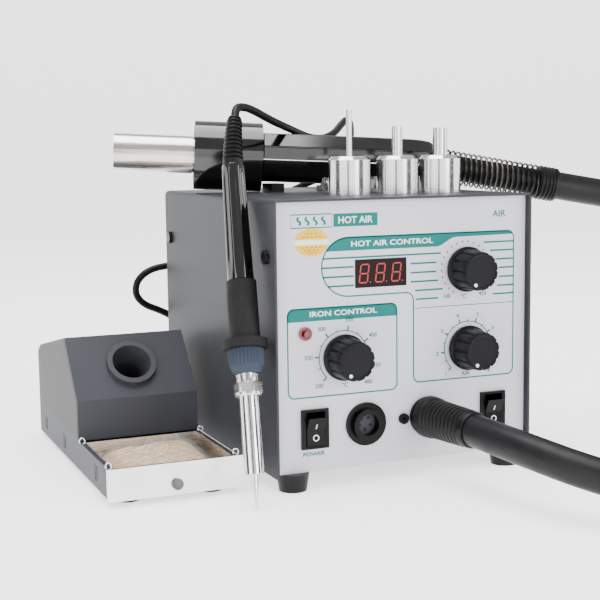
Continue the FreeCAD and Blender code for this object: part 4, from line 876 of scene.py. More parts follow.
def lettering(text: str, middle: Pair, height: float, face: float, width: float = 0.0,
              proud: float = 0.06, bold: float = 0.0) -> Shape:
    """Print a word on a face, scaled to a height and, if given, a width.

    Args:
        text: The word.
        middle: Its middle (x, z) in millimetres.
        height: Its height in millimetres.
        face: The face's y in metres.
        width: Its width in millimetres, or 0 for the font's own.
        proud: How far it stands out, in millimetres.
        bold: How much its strokes grow, as a share of the font's size.

    Returns:
        The letters as closed solids.
    """
    curve = bpy.data.curves.new("letters", "FONT")
    curve.body = text
    curve.extrude = 0.5
    curve.offset = bold
    curve.resolution_u = 3
    holder = bpy.data.objects.new("letters", curve)
    bpy.context.scene.collection.objects.link(holder)
    bpy.context.view_layer.update()
    mesh = bpy.data.meshes.new_from_object(holder)
    points = np.zeros(len(mesh.vertices) * 3)
    mesh.vertices.foreach_get("co", points)
    points = points.reshape(-1, 3)
    faces = [tuple(face.vertices) for face in mesh.polygons]
    bpy.data.objects.remove(holder)
    bpy.data.curves.remove(curve)
    bpy.data.meshes.remove(mesh)
    low, high = points.min(axis=0), points.max(axis=0)
    tall = height / (high[1] - low[1])
    wide = width / (high[0] - low[0]) if width else tall
    flat = (points[:, :2] - (low + high)[:2] / 2) * (wide, tall) + middle
    depth = INK_ROOT + (points[:, 2] + 0.5) * (proud - INK_ROOT)
    return Shape(raised(flat, depth, face), faces)


@dataclass
class Scale:
    """A dial's printed scale: an arc with long and short marks and a number at each long one."""

    middle: Pair
    radius: float
    numbers: tuple[tuple[str, float], ...]
    number_radius: float
    between: tuple[float, ...]
    long_mark: float = 2.6
    short_mark: float = 1.3
    number_height: float = 2.3

    def radial(self, angle: float, start: float, length: float) -> Array:
        """Give the two ends of a mark that points away from the dial's middle."""
        way = np.array((math.cos(math.radians(angle)), math.sin(math.radians(angle))))
        return np.array(self.middle) + way * np.array(((start,), (start + length,)))

    def shapes(self, face: float) -> list[Shape]:
        """Print the arc, the marks and the numbers."""
        first, last = self.numbers[0][1], self.numbers[-1][1]
        made = [ribbon(arc(self.middle, self.radius, first, last, 72), 0.5, face)]
        for angle in self.between:
            made.append(ribbon(self.radial(angle, self.radius, self.short_mark), 0.5, face))
        for text, angle in self.numbers:
            made.append(ribbon(self.radial(angle, self.radius, self.long_mark), 0.85, face))
            at = self.radial(angle, self.number_radius, 0.0)[0]
            made.append(lettering(text, tuple(at), self.number_height, face, bold=0.02))
        return made


@dataclass
class PanelPrint:
    """Everything printed on the front panel, in four inks."""

    badge_low: Pair = (-64.6, 135.5)
    badge_high: Pair = (-16.0, 142.2)
    badge_split: float = -42.0
    seal_middle: Pair = (-53.2, 128.1)
    seal_half: Pair = (9.35, 7.1)
    sweep_middle: Pair = (-32.6, 114.7)
    sweep_radius: float = 15.2
    band_low: float = 123.0
    right_edge: float = 66.3
    iron_low: Pair = (-67.0, 48.5)
    iron_high: Pair = (-5.0, 94.4)
    iron_band: float = 87.8
    corner: float = 3.5
    line: float = 0.75
    stripe: float = 0.95
    air_dial: Pair = (36.2, 110.6)
    flow_dial: Pair = (37.8, 67.6)
    iron_dial: Pair = (-35.8, 68.0)
    dot_count: int = 22

    def badge(self, face: float) -> tuple[list[Shape], list[Shape]]:
        """Print a framed field of heat waves beside a filled one with two plain words."""
        low, high, split = self.badge_low, self.badge_high, self.badge_split
        frame_line = [low, (split, low[1]), (split, high[1]), (low[0], high[1])]
        teal = [ribbon(np.array(frame_line), 0.6, face, ring=True), bar((split + 1, low[1]), high, face)]
        rise = np.linspace(low[1] + 1.4, high[1] - 1.4, 14)
        for across in np.linspace(low[0] + 4.5, split - 4.5, 4):
            wave = np.stack((across + 0.9 * np.sin(TAU * (rise - rise[0]) / 3.9), rise), axis=1)
            teal.append(ribbon(wave, 1.1, face))
        middle = ((split + 1 + high[0]) / 2, (low[1] + high[1]) / 2)
        white = [lettering("HOT AIR", middle, 3.6, face, 19.5, 0.12, 0.02)]
        teal.append(lettering("AIR", (57.0, 139.3), 3.6, face, 8.4, bold=0.02))
        return teal, white

    def seal(self, face: float) -> tuple[list[Shape], list[Shape], list[Shape]]:
        """Print an oval label with a pale band and short bars in place of words."""
        angle = np.linspace(0, TAU, 49)[:-1]
        half, middle = np.array(self.seal_half), np.array(self.seal_middle)
        gold = [plate(middle + half * np.stack((np.cos(angle), np.sin(angle)), axis=1), face, 0.1)]
        edge = math.asin(0.19)
        sides = [np.linspace(-edge, edge, 5), np.linspace(math.pi - edge, math.pi + edge, 5)]
        round_way = np.concatenate(sides)
        inner = middle + half * 1.004 * np.stack((np.cos(round_way), np.sin(round_way)), axis=1)
        white = [plate(inner, face, 0.14)]
        brown = []
        for rise, reach in ((4.3, 2.4), (2.7, 4.4), (-2.6, 4.8), (-4.0, 3.6), (-5.2, 2.0)):
            for across in np.linspace(-reach, reach, 2 * int(reach) + 1)[::2]:
                at = (middle[0] + across - 0.55, middle[1] + rise - 0.22)
                brown.append(bar(at, (at[0] + 1.1, at[1] + 0.44), face, 0.14))
        return gold, white, brown

    def air_field(self, face: float) -> tuple[list[Shape], list[Shape]]:
        """Print the outline round the air controls, its title band and its stripes."""
        middle, radius, right = self.sweep_middle, self.sweep_radius, self.right_edge
        outline = np.concatenate((
            arc(middle, radius, 90, 270, 40), arc((0.4, 95.0), 4.5, 90, 0), arc((8.4, 54.7), 3.5, 180, 270),
            arc((62.8, 54.7), 3.5, 270, 360), arc((right - 3.9, 126.0), 3.9, 0, 90)))
        teal = [ribbon(outline, self.line, face, ring=True)]
        start = 180 - math.degrees(math.asin((self.band_low - middle[1]) / radius))
        ease = np.linspace(0, 1, 12)
        climb = np.stack((18.6 + 11.9 * ease, self.band_low + 2.3 * (1 - np.cos(math.pi * ease))), axis=1)
        band = np.concatenate((arc(middle, radius, 90, start, 16), climb, [(right - 0.2, 128.0)],
                               arc((right - 3.9, 126.0), 3.9, 32, 90, 8)))
        teal.append(plate(band, face))
        for level in (119.4, 114.6, 109.8, 105.0):
            left = middle[0] - math.sqrt(radius ** 2 - (level - middle[1]) ** 2)
            reach = 21.3 if level > 119 else -29.8
            teal.append(ribbon(np.array(((left, level), (reach, level))), self.stripe, face))
        for left, reach, level in ((3.2, 18.6, 114.6), (3.2, 18.6, 109.8), (3.2, 19.7, 105.0),
                                   (5.8, 22.4, 100.3), (6.3, 19.7, 95.6)):
            teal.append(ribbon(np.array(((left, level), (reach, level))), self.stripe, face))
        for left, level in ((47.6, 124.1), (51.5, 119.5), (54.9, 114.7), (57.2, 110.0), (57.2, 105.1),
                            (56.1, 100.3), (53.4, 95.8)):
            teal.append(ribbon(np.array(((left, level), (right, level))), self.stripe, face))
        teal.append(ribbon(np.array(((6.0, 90.85), (right, 90.85))), 0.4, face))
        low, high = (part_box("display_window")[side] - MIDDLE for side in (0, 1))
        window = [(low.x, low.z), (high.x, low.z), (high.x, high.z), (low.x, high.z)]
        teal.append(ribbon(np.array(window) / MM, 0.5, face, ring=True))
        white = [lettering("HOT AIR CONTROL", (-7.3, 126.4), 2.9, face, 47.7, 0.12, 0.02)]
        return teal, white

    def iron_field(self, face: float) -> tuple[list[Shape], list[Shape]]:
        """Print the box round the iron's controls with its title band."""
        (left, bottom), (right, top), r = self.iron_low, self.iron_high, self.corner
        upper = np.concatenate((arc((right - r, top - r), r, 0, 90), arc((left + r, top - r), r, 90, 180)))
        lower = np.concatenate((arc((left + r, bottom + r), r, 180, 270),
                                arc((right - r, bottom + r), r, 270, 360)))
        teal = [ribbon(np.concatenate((upper, lower)), self.line, face, ring=True)]
        band = np.concatenate((upper, [(left, self.iron_band), (right, self.iron_band)]))
        teal.append(plate(band, face))
        teal.append(lettering("POWER", (-53.0, 18.7), 2.2, face, 12.4, bold=0.035))
        return teal, [lettering("IRON CONTROL", (-35.7, 91.4), 2.8, face, 38.0, 0.12, 0.02)]

    def scales(self, face: float) -> list[Shape]:
        """Print the three dials' scales."""
        iron_angle = {degrees: 225 - (degrees - 200) * 270 / 280 for degrees in range(200, 481, 5)}
        iron = Scale(self.iron_dial, 13.9,
                     tuple((str(t), iron_angle[t]) for t in (200, 250, 300, 350, 400, 450, 480)), 19.8,
                     tuple(iron_angle[t] for t in (225, 275, 325, 375, 425)))
        step = 270 / 7
        flow = Scale(self.flow_dial, 14.3, tuple((str(k + 1), 225 - step * k) for k in range(8)), 18.7,
                     tuple(225 - step * (k + 0.5) for k in range(7)), 2.2, 1.1)
        made = iron.shapes(face) + flow.shapes(face)
        for angle in np.linspace(239.5, -59.5, self.dot_count):
            spot = arc(self.air_dial, 14.4, angle, angle, 1)[0]
            made.append(plate(arc(tuple(spot), 0.5, 0, 324, 10), face))
        for text, at, height in (("100", (25.1, 96.2), 2.3), ("450", (46.9, 96.6), 2.3),
                                 ("°C", (35.2, 95.6), 2.5), ("°C", (-35.2, 53.4), 2.5),
                                 ("AIR", (36.6, 53.6), 2.4)):
            made.append(lettering(text, at, height, face, bold=0.02))
        return made

    def build(self) -> None:
        """Print each ink as one piece on the panel's face."""
        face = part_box("front_panel")[0].y
        badge_teal, badge_white = self.badge(face)
        gold, seal_white, brown = self.seal(face)
        air_teal, air_white = self.air_field(face)
        iron_teal, iron_white = self.iron_field(face)
        teal = badge_teal + air_teal + iron_teal + self.scales(face)
        white = badge_white + seal_white + air_white + iron_white
        for name, shapes, ink in (("panel_print_teal", teal, TEAL), ("panel_print_white", white, WHITE),
                                  ("panel_label_gold", gold, GOLD), ("panel_label_bars", brown, BROWN)):
            piece = make_piece(name, gather(shapes), ink, "root", smooth=False)


@dataclass
class Display:
    """Three slanted digits of seven lit strokes, each with its point, behind the red window."""

    height: float = 9.4
    width: float = 4.6
    stroke: float = 0.75
    pitch: float = 9.3
    slant: float = 0.13
    gap: float = 0.35
    tube_radius: float = 0.45

    def digit(self, at: Pair, face: float) -> list[Shape]:
        """Draw the seven strokes about a middle, leaned by x + slant times z, and the point."""
        w, h, g = self.width / 2, self.height / 2, self.gap
        strokes = [((-w + g, h), (w - g, h)), ((-w + g, 0), (w - g, 0)), ((-w + g, -h), (w - g, -h)),
                   ((-w, g), (-w, h - g)), ((w, g), (w, h - g)), ((-w, -h + g), (-w, -g)),
                   ((w, -h + g), (w, -g))]
        lines = np.array(strokes)
        lines[..., 0] += self.slant * lines[..., 1]
        made = [ribbon(line + at, self.stroke, face) for line in lines]
        made.append(plate(arc((at[0] + w + 1.2, at[1] - h + 0.1), self.stroke / 2, 0, 330, 12), face))
        return made

    def build(self) -> None:
        """Set the three digits on the window's face."""
        low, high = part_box("display_window")
        middle = ((low + high) / 2 - MIDDLE) / MM
        shapes = []
        for place_number in (-1, 0, 1):
            shapes += self.digit((middle.x - 0.5 + place_number * self.pitch, middle.z), low.y)
        piece = make_piece("display_digits", gather(shapes), DIGIT_GLOW, "root", smooth=False)


# ---- Knobs and switches ---------------------------------------------------------------

@dataclass
class Knob:
    """A skirted knob with broad lobes, a dished face and a white dot near its rim."""

    node: str
    body: str
    lobes: int = 12
    skirt: float = 12.1
    root: float = 10.9
    nose: float = 10.3
    depth: float = 15.7
    notch_depth: float = 0.085
    notch_width: float = 0.11
    dot_angle: float = 243.0
    dot_reach: float = 8.0
    dot_radius: float = 0.95
    dot_root: float = 0.6
    dot_edge: float = 0.08
    dot_crown: float = 0.12
    dot_bevel: float = 0.15

    def build(self) -> None:
        """Turn the knob; its lobes are radius x (1 - notch depth x exp(-(phase / notch width) squared))."""
        low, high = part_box(self.node)
        start = np.array(((low.x + high.x) / 2, high.y, (low.z + high.z) / 2))
        forward = np.array((0.0, -1.0, 0.0))
        skirt = [(0, 0), (0, self.skirt - 0.4), (0.4, self.skirt), (1.7, self.skirt), (2.4, self.skirt - 0.5),
                 (2.7, self.root + 0.2), (2.8, self.root)]
        lobed = [(3.3, self.root), (6.0, self.root - 0.1), (11.0, self.nose + 0.15), (14.6, self.nose)]
        rim = [(15.3, self.nose - 0.25), (self.depth, self.nose - 0.9), (self.depth, self.nose - 1.6),
               (self.depth - 0.35, self.nose - 2.1), (self.depth - 0.45, 4.0), (self.depth - 0.45, 0)]
        columns = self.lobes * 16
        phase = (np.linspace(0, self.lobes, columns + 1) + 0.5) % 1 - 0.5
        notch = 1 - self.notch_depth * np.exp(-(phase / self.notch_width) ** 2)
        share = np.concatenate((np.zeros(len(skirt)), np.ones(len(lobed)), [0.9, 0.6], np.zeros(4)))
        flutes = 1 + (notch - 1) * share[:, None]
        shape = turned(skirt + lobed + rim, start, forward, flutes, columns)
        knob = make_piece(f"{self.node}_skin", shape, SLOT_FINISHES["knob_plastic"], self.body, crease=28.0)
        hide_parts(self.node)
        way = math.radians(self.dot_angle)
        middle = start + np.array((math.cos(way), 0, math.sin(way))) * self.dot_reach * MM
        dot = [(self.depth - self.dot_root, 0), (self.depth - self.dot_root, self.dot_radius),
               (self.depth + self.dot_edge, self.dot_radius),
               (self.depth + self.dot_crown, self.dot_radius - self.dot_bevel),
               (self.depth + self.dot_crown, 0)]
        mark = make_piece(f"{self.node}_dot", turned(dot, middle, forward, columns=24), WHITE, self.body)


@dataclass
class SocketFace:
    """Black marks of painted shade for the contact holes and the key notch on the socket's grey insert."""

    ring: float = 3.3
    slot: float = 0.85
    wide: float = 1.3

    def build(self) -> None:
        """Lay five short black marks on a circle, and the notch above them: painted shade for the holes."""
        low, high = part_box("iron_socket_insert")
        middle = (((low + high) / 2 - MIDDLE) / MM).xz
        slots = []
        for angle in np.arange(5) * 72.0 + 126.0:
            inner, outer = (arc(tuple(middle), self.ring + side * self.slot, angle, angle, 1)[0]
                            for side in (-1, 1))
            slots.append(ribbon(np.array((inner, outer)), self.wide, low.y, 0.05))
        notch = arc((middle.x, middle.y + 5.0), 1.2, 0, 330, 12)
        slots.append(plate(notch, low.y, 0.05))
        # the marks are painted shade on the insert's face, not cut holes
        piece = make_piece("socket_hole_shade", gather(slots), PAINTED_SHADE_BLACK, "root", smooth=False)


@dataclass
class SwitchMarks:
    """The white I and O on a rocker, laid on its sloping face."""

    node: str
    body: str
    stroke: float = 0.5
    upper: float = 2.6
    lower: float = -3.4
    ring: float = 1.45

    def laid(self, shape: Shape, at: Pair) -> Shape:
        """Shift each point by the face's plane: y + slope x times x + slope z times z, from three rays."""
        mesh = frame["nodes"][self.node].data
        tree = BVHTree.FromPolygons([tuple(v.co) for v in mesh.vertices],
                                    [tuple(p.vertices) for p in mesh.polygons])
        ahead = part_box(self.node)[0].y - 0.01
        reach = 1.2 * MM
        spots = [np.array((at[0] + dx, at[1] + dz)) for dx, dz in ((0, 0), (reach, 0), (0, reach))]
        depths = [tree.ray_cast(Vector((x, ahead, z)), Vector((0, 1, 0)))[0].y for x, z in spots]
        slope = np.array((depths[1] - depths[0], depths[2] - depths[0])) / reach
        shift = depths[0] + (shape.points[:, [0, 2]] - np.array(at)) @ slope
        points = shape.points.copy()
        points[:, 1] += shift
        return Shape(points, shape.faces)

    def build(self) -> None:
        """Draw the upright stroke and the ring, and lay each on its half of the key."""
        low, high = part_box(self.node)
        across = (low.x + high.x) / 2
        level = (low.z + high.z) / 2
        flat = (across - MIDDLE.x) / MM
        stroke = ribbon(np.array(((flat, level / MM + self.upper - 1.3),
                                  (flat, level / MM + self.upper + 1.3))), self.stroke, 0.0)
        ring = ribbon(arc((flat, level / MM + self.lower), self.ring, 0, 348, 30), self.stroke, 0.0,
                      ring=True)
        marks = (self.laid(stroke, (across, level + self.upper * MM)) +
                 self.laid(ring, (across, level + self.lower * MM)))
        piece = make_piece(f"{self.node}_marks", marks, WHITE, self.body, smooth=False)


# ---- Gun, iron and boots --------------------------------------------------------------

def along(start: Triple, axis: Triple, reach: float) -> Array:
    """Give the point at a distance in millimetres along an axis, in metres in the frame."""
    way = np.array(axis) / np.linalg.norm(axis)
    return place(np.array(start) + way * reach)


def lofted(outline: Array, stations: list[Pair], start: Array, direction: Array) -> Shape:
    """Carry an outline along a line: point = start + s along + scale(s) (a across + b up).

    Args:
        outline: Points (a, b) in millimetres, in order round the section.
        stations: Pairs of distance in millimetres and scale, from one end to the other.
        start: The line's first point, in metres.
        direction: Its direction.

    Returns:
        The closed surface, with each end drawn in to one point.
    """
    reach, scale = np.array(stations).T
    straight = direction / np.linalg.norm(direction)
    across, up = basis(straight)
    ring = np.concatenate((outline, outline[:1])) * MM
    section = ring[:, :1] * across + ring[:, 1:] * up
    rows = start + (reach * MM)[:, None, None] * straight + scale[:, None, None] * section
    first, last = (np.broadcast_to(row[:-1].mean(axis=0), (1, len(ring), 3)) for row in (rows[0], rows[-1]))
    return grid_shape(np.concatenate((first, rows, last)))


def ribs(first: float, last: float, count: int, low: float, high: float, height: float) -> list[Pair]:
    """Give a ribbed profile: count ribs between two distances, radius from low to high plus a rounded rib."""
    share = np.linspace(0, 1, count * 8 + 1)
    wave = np.clip(1.6 * np.sin(TAU * count * share - math.pi / 2), -1, 1)
    radius = low + (high - low) * share + height * wave / 2
    return list(zip((first + (last - first) * share).tolist(), radius.tolist()))


@dataclass
class Gun:
    """The gun's two handle shells, and its boot: a tube in a spring with a ribbed collar."""

    start: Triple = (-116.49, 56.56, 174.76)
    side: float = 12.8
    shoulder: float = 6.5
    crown: float = 14.4
    crown_half: float = 6.6
    seam: float = -0.8
    seam_gap: float = 0.1
    handle_start: float = 87.3
    handle_end: float = 190.0
    boot_start: float = 189.5
    tube_radius: float = 7.5
    spring_radius: float = 9.7
    wire_radius: float = 0.65
    spring_turns: int = 20
    collar_length: float = 12.0
    boot_end: Triple = (139.5, -21.5, 151.0)

    def upper_outline(self) -> Array:
        """Draw the upper section: upright flats, a fine step, sloping facets and a flat crown."""
        low = self.seam + self.seam_gap / 2
        right = [(self.side - 0.4, low), (self.side, low + 0.3), (self.side, self.shoulder - 0.4),
                 (self.side - 0.45, self.shoulder - 0.1), (self.side - 0.45, self.shoulder + 0.3),
                 (self.side - 0.1, self.shoulder + 0.7), (self.crown_half + 0.8, self.crown - 0.5),
                 (self.crown_half - 0.4, self.crown)]
        return np.array(right + [(-a, b) for a, b in reversed(right)])

    def lower_outline(self) -> Array:
        """Draw the lower section: an ellipse (side cos a, -crown sin a) below the seam."""
        top = self.seam - self.seam_gap / 2
        angle = np.linspace(0.02, math.pi - 0.02, 28)
        return np.stack((self.side * np.cos(angle), top - (self.crown - 0.9) * np.sin(angle)), axis=1)

    def handle(self) -> None:
        """Loft both shells along the gun."""
        stations = [(self.handle_start, 0.96), (self.handle_start + 0.8, 1.0), (150.0, 1.0), (176.0, 0.985),
                    (183.0, 0.96), (187.0, 0.915), (189.2, 0.85), (self.handle_end, 0.76)]
        for name, outline in (("gun_upper_shell", self.upper_outline()),
                              ("gun_lower_shell", self.lower_outline())):
            shape = lofted(outline, stations, place(self.start), np.array(GUN_AXIS))
            shell = make_piece(f"{name}_skin", shape, GLOSS_BLACK, "gun", crease=24.0)
            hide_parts(name)

    def boot(self) -> None:
        """Turn the tube and its collar, and wind the spring round it."""
        first = along(self.start, GUN_AXIS, self.boot_start)
        way = place(self.boot_end) - first
        length = float(np.linalg.norm(way)) / MM
        collar = length - self.collar_length
        tube = [(0, 0), (0, self.tube_radius + 2.4), (2.0, self.tube_radius + 2.2), (2.6, self.tube_radius),
                (collar - 0.6, self.tube_radius + 0.3), (collar, self.tube_radius + 2.6)]
        tube += ribs(collar + 0.2, length - 2.4, 4, 10.0, 10.0, 0.8)
        tube += [(length - 2.2, 10.2), (length - 0.4, 10.1), (length, 9.6), (length, 0)]
        boot = make_piece("gun_hose_boot_skin", turned(tube, first, way), BOOT_RUBBER, "gun")
        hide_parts("gun_hose_boot")
        share = np.linspace(0, 1, self.spring_turns * 28 + 1)
        angle = TAU * self.spring_turns * share
        across, up = basis(way / np.linalg.norm(way))
        ring = (np.cos(angle)[:, None] * across + np.sin(angle)[:, None] * up) * self.spring_radius * MM
        path = first + way * (0.03 + (collar / length - 0.03) * share)[:, None] + ring
        spring = make_piece("gun_hose_spring", carried(path, self.wire_radius * MM, 8), SPRING_WIRE, "gun")

    def build(self) -> None:
        """Make the handle and the boot."""
        self.handle()
        self.boot()


@dataclass
class FrontBoot:
    """The boot round the hose at the panel: a plain ring, nine fine ribs and a plain end."""

    start: Pair = (12.8, 32.5)
    gland_depth: float = 2.2
    ring_length: float = 6.5
    end_length: float = 4.5
    rib_count: int = 9
    hose_start: Triple = (17.6, -131.3, 32.5)

    def build(self) -> None:
        """Turn the boot about the line from the gland to the hose."""
        face = (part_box("front_panel")[0].y - MIDDLE.y) / MM
        first = place((self.start[0], face - self.gland_depth, self.start[1]))
        way = place(self.hose_start) - first
        length = float(np.linalg.norm(way)) / MM
        profile = [(0, 0), (0, 10.6), (0.6, 11.2), (self.ring_length - 0.8, 11.0), (self.ring_length, 10.4)]
        profile += ribs(self.ring_length + 0.4, length - self.end_length - 0.4, self.rib_count,
                        10.0, 9.3, 1.0)
        profile += [(length - self.end_length, 9.7), (length - 0.8, 9.5), (length, 9.0), (length, 0)]
        boot = make_piece("front_boot_skin", turned(profile, first, way, columns=72), BOOT_RUBBER, "root")
        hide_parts("front_boot")


@dataclass
class Iron:
    """The iron's fluted handle, knurled collar, slotted nut and bent ribbed boot."""

    start: Triple = (-94.0, -113.0, 0.5)
    handle_low: float = 115.0
    handle_high: float = 177.5
    low_radius: float = 6.9
    high_radius: float = 5.9
    flute_count: int = 8
    flute_depth: float = 0.045
    knurl_count: int = 30
    boot_ribs: int = 10
    boot_end: Triple = (-76.2, -42.6, 191.4)
    boot_heading: Triple = (-74.6, -39.2, 197.0)

    def turn_part(self, name: str, node: str, profile: list[Pair], finish: Finish,
                  flutes: Array | None = None, columns: int = 64, body: str = "iron") -> None:
        """Turn one piece about the iron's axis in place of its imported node."""
        shape = turned(profile, place(self.start), np.array(IRON_AXIS), flutes, columns)
        piece = make_piece(name, shape, finish, body)
        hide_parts(node)

    def handle(self) -> None:
        """Turn the handle: radius x (1 + depth cos(count a)), the flutes fading at both ends."""
        low, high = self.handle_low, self.handle_high
        reach = np.linspace(0, 1, 24)
        radius = self.low_radius + (self.high_radius - self.low_radius) * reach ** 0.8
        profile = [(low, 0), (low, self.low_radius - 0.4)]
        profile += list(zip((low + 0.5 + (high - low - 1.6) * reach).tolist(), radius.tolist()))
        profile += [(high - 0.4, self.high_radius - 0.2), (high, self.high_radius - 0.8), (high, 0)]
        fade = np.concatenate(((0, 0), np.clip(6 * reach, 0, 1) * np.clip(12 * (1 - reach), 0, 1), (0, 0, 0)))
        angle = np.linspace(0, TAU, 161)
        flutes = 1 + self.flute_depth * np.cos(self.flute_count * angle) * fade[:, None]
        self.turn_part("iron_handle_skin", "iron_handle", profile, GLOSS_BLACK, flutes, 160)

    def collar(self) -> None:
        """Turn the collar, with grooves cut down its upper part."""
        profile = [(67.4, 5.1), (67.4, 6.6), (68.2, 7.3), (69.6, 8.0), (71.0, 8.4), (71.6, 8.9), (75.0, 9.1),
                   (79.2, 9.2), (79.9, 8.8), (79.9, 5.1), (67.4, 5.1)]
        columns = self.knurl_count * 8
        groove = 1 - 0.035 * (1 + np.cos(self.knurl_count * np.linspace(0, TAU, columns + 1)))
        share = np.array((0, 0, 0, 0, 0, 1, 1, 1, 0.5, 0, 0))[:, None]
        flutes = 1 + (groove - 1) * share
        self.turn_part("iron_collar_skin", "iron_collar", profile, COLLAR_BLUE, flutes,
                       columns)

    def nut(self) -> None:
        """Turn the nut: six flats on its wide part and three notches in its rim."""
        profile = [(56.1, 5.08), (56.1, 6.5), (56.6, 7.0), (57.6, 7.0), (57.8, 6.6), (62.6, 6.6), (62.8, 5.9),
                   (63.4, 5.7), (66.9, 5.7), (66.9, 5.08), (56.1, 5.08)]
        angle = np.linspace(0, TAU, 145)
        flats = np.cos(math.pi / 6) / np.cos((angle + math.pi / 6) % (math.pi / 3) - math.pi / 6)
        notch = 1 - 0.07 * (np.cos(6 * angle) > 0.4)
        share = np.array((0, 0, 0, 0, 1, 1, 0, 0, 0, 0, 0))[:, None]
        rim = np.array((0, 0, 0, 0, 0, 0, 0, 1, 1, 0, 0))[:, None]
        flutes = (1 + (flats * 1.1 - 1) * share) * (1 + (notch - 1) * rim)
        self.turn_part("iron_nut_skin", "iron_nut", profile, NODE_FINISHES["iron_nut"],
                       flutes, 144, "barrel_nut")

    def boot(self) -> None:
        """Carry the ribbed section along a bend: p0 (1-t)^2 + 2 p1 t (1-t) + p2 t^2."""
        first = along(self.start, IRON_AXIS, self.handle_high - 0.8)
        last = place(self.boot_end)
        heading = place(self.boot_heading) - last
        reach = float(np.linalg.norm(last - first))
        middle = (first + np.array(IRON_AXIS) * reach / 2 + last
                  - heading / np.linalg.norm(heading) * reach / 2) / 2
        profile = np.array([(0, 5.3), (0.12, 5.3), *ribs(0.13, 0.96, self.boot_ribs, 5.0, 3.6, 0.95),
                            (0.97, 3.7), (1.0, 3.5)])
        t = profile[:, :1]
        path = first * (1 - t) ** 2 + 2 * middle * t * (1 - t) + last * t ** 2
        boot = make_piece("iron_boot_skin", carried(path, profile[:, 1] * MM, 40), BOOT_RUBBER, "iron")
        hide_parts("iron_boot")

    def build(self) -> None:
        """Make the four pieces."""
        self.handle()
        self.collar()
        self.nut()
        self.boot()


# ---- Stand ----------------------------------------------------------------------------

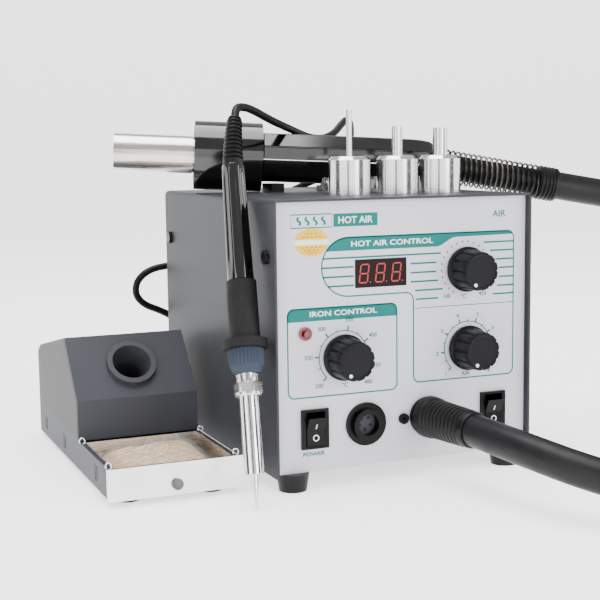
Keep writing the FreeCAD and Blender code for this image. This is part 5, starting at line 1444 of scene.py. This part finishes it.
@dataclass
class StandDressing:
    """The tan sponge in its clear wrap, the wire clips of the tray and a black plate of painted shade on the
    housing's left side.
    """

    half: Triple = (25.6, 26.6, 4.2)
    tilt: Pair = (0.050, 0.075)
    lift: float = 1.4
    wrap_half: Pair = (27.3, 28.4)
    wrap_gap: float = 0.9
    wrap_thickness: float = 0.00006
    clip_radius: float = 1.5
    clip_wire: float = 0.4
    clip_inset: float = 2.2
    clip_front: float = 6.0
    # the black plate of painted shade on the housing's left side: its outline (y, z), how far it stands out
    # and how far in it reaches
    shade_plate_outline: tuple[Pair, ...] = (
        (-8.6, 20.4), (-8.6, 40.6), (18.6, 69.9), (88.4, 56.3), (88.4, 20.4),
    )
    shade_plate_proud: float = 0.12
    shade_plate_sunk: float = 0.3

    def top_shape(self, x: Array, y: Array) -> Array:
        """Give the crowned height: lift + tilt + half height x (1 - (x/a)^6)(1 - (y/b)^6) + fibres."""
        a, b, c = self.half
        crown = (1 - np.clip(np.abs(x / a), 0, 1) ** 6) * (1 - np.clip(np.abs(y / b), 0, 1) ** 6)
        fibres = 0.22 * np.sin(y * 1.9 + 0.5 * np.sin(x * 0.3)) + 0.16 * np.sin(y * 3.7 + x * 0.21)
        return self.lift + self.tilt[0] * x + self.tilt[1] * y + c * crown + fibres * crown

    def sponge(self) -> None:
        """Make the pad: a rounded block whose top is crowned, fibrous and tipped up to the back right."""
        low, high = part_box("sponge")
        middle = np.array((low + high)) / 2
        a, b, c = self.half
        around = np.linspace(0, TAU, 161)
        up = np.linspace(-math.pi / 2, math.pi / 2, 41)[:, None]

        def power(value: Array, exponent: float) -> Array:
            """Raise a signed value's size to a power and keep its sign."""
            return np.sign(value) * np.abs(value) ** exponent

        ring = power(np.cos(up), 0.35)
        x = a * ring * power(np.cos(around), 0.3)
        y = b * ring * power(np.sin(around), 0.3)
        z = c * power(np.sin(up), 0.5) * np.ones_like(x)
        tipped = self.top_shape(x, y) - c
        z = z + np.where(z > 0, 1, 0.25) * tipped * np.clip((z + c) / (2 * c), 0, 1) + 0.3
        points = np.stack((x, y, z), axis=-1) * MM + middle
        pad = make_piece("sponge_pad", grid_shape(points), SPONGE_TAN, "sponge")
        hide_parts("sponge")

    def wrap(self) -> None:
        """Lay the film over the pad: its top plus a gap, falling over the rim, plus fine creases."""
        low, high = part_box("sponge")
        middle = np.array((low + high)) / 2
        a, b = self.wrap_half
        x, y = np.meshgrid(np.linspace(-a, a, 70), np.linspace(-b, b, 72), indexing="ij")
        edge = np.clip((np.maximum(np.abs(x) / a, np.abs(y) / b) - 0.9) / 0.1, 0, 1)
        crease = (0.45 * np.sin(0.55 * x + 0.8 * y) * np.sin(0.31 * y - 0.2 * x)
                  + 0.2 * np.sin(1.7 * x - 0.9 * y))
        z = self.top_shape(x, y) + self.wrap_gap + crease * 0.6 - 1.2 * edge ** 2
        points = np.stack((x, y, np.maximum(z, 1.4)), axis=-1) * MM + middle
        film = make_piece("sponge_wrap", grid_shape(points), WRAP_FILM, "sponge")
        thick = film.modifiers.new("thickness", "SOLIDIFY")
        thick.thickness = self.wrap_thickness

    def clips(self) -> None:
        """Bend a wire loop at each corner of the tray: a three-quarter ring on a short leg."""
        low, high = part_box("sponge_tray")
        deck = high.z
        inset = self.clip_inset * MM
        front = low.y + self.clip_front * MM
        corners = ((low.x + inset, front), (low.x + inset, high.y - inset),
                   (high.x - inset, high.y - inset), (high.x - inset, front))
        for number, (x, y) in enumerate(corners, start=1):
            turn = np.linspace(-0.4 * math.pi, 1.2 * math.pi, 22)
            ring = np.stack((np.cos(turn), 0.35 * np.sin(turn), np.sin(turn)), axis=1) * self.clip_radius * MM
            leg = ring[:1] + np.array((0, 0, -1.0)) * np.array((2.6, 1.3))[:, None] * MM
            path = np.concatenate((leg, ring)) + np.array((x, y, deck + 0.4 * MM))
            clip = make_piece(f"tray_clip_{number}", carried(path, self.clip_wire * MM, 12),
                              SLOT_FINISHES["clamp_screw"], "stand")

    def shade_plate(self) -> None:
        """Lay a black plate of painted shade on the housing's left side, just inside its bent edges."""
        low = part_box("stand_housing")[0]
        outline = np.array(self.shade_plate_outline)
        x = np.array((low.x - self.shade_plate_proud * MM, low.x + self.shade_plate_sunk * MM))
        points = np.concatenate([np.c_[np.full(5, side), outline[:, 0] * MM + MIDDLE.y, outline[:, 1] * MM]
                                 for side in x])
        sides = [(k, (k + 1) % 5, 5 + (k + 1) % 5, 5 + k) for k in range(5)]
        faces = [(0, 1, 2, 3, 4), (5, 6, 7, 8, 9)] + sides
        # a black plate of painted shade on the housing's left side
        shade_plate = make_piece("housing_side_shade", Shape(points, faces), PAINTED_SHADE_BLACK, "stand", smooth=False)

    def build(self) -> None:
        """Make the sponge, its wrap, the clips and the black plate of painted shade."""
        self.sponge()
        self.wrap()
        self.clips()
        self.shade_plate()


def main() -> None:
    """Build the studio, the cords and each sub-assembly."""
    logging.basicConfig(level=logging.INFO, format="%(name)s: %(message)s")
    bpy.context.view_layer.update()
    Studio().build()
    dress_cad_nodes()
    knobs = [Knob(f"{name}_knob", f"{name}_dial") for name in ("air_temp", "air_flow", "iron_temp")]
    marks = [SwitchMarks(f"{name}_rocker", f"{name}_key") for name in ("power", "air")]
    for assembly in (AirHose(), IronCord(), PanelPrint(), Display(), SocketFace(), *knobs, *marks,
                     Gun(), FrontBoot(), Iron(), StandDressing()):
        assembly.build()


if __name__ == "__main__":
    main()
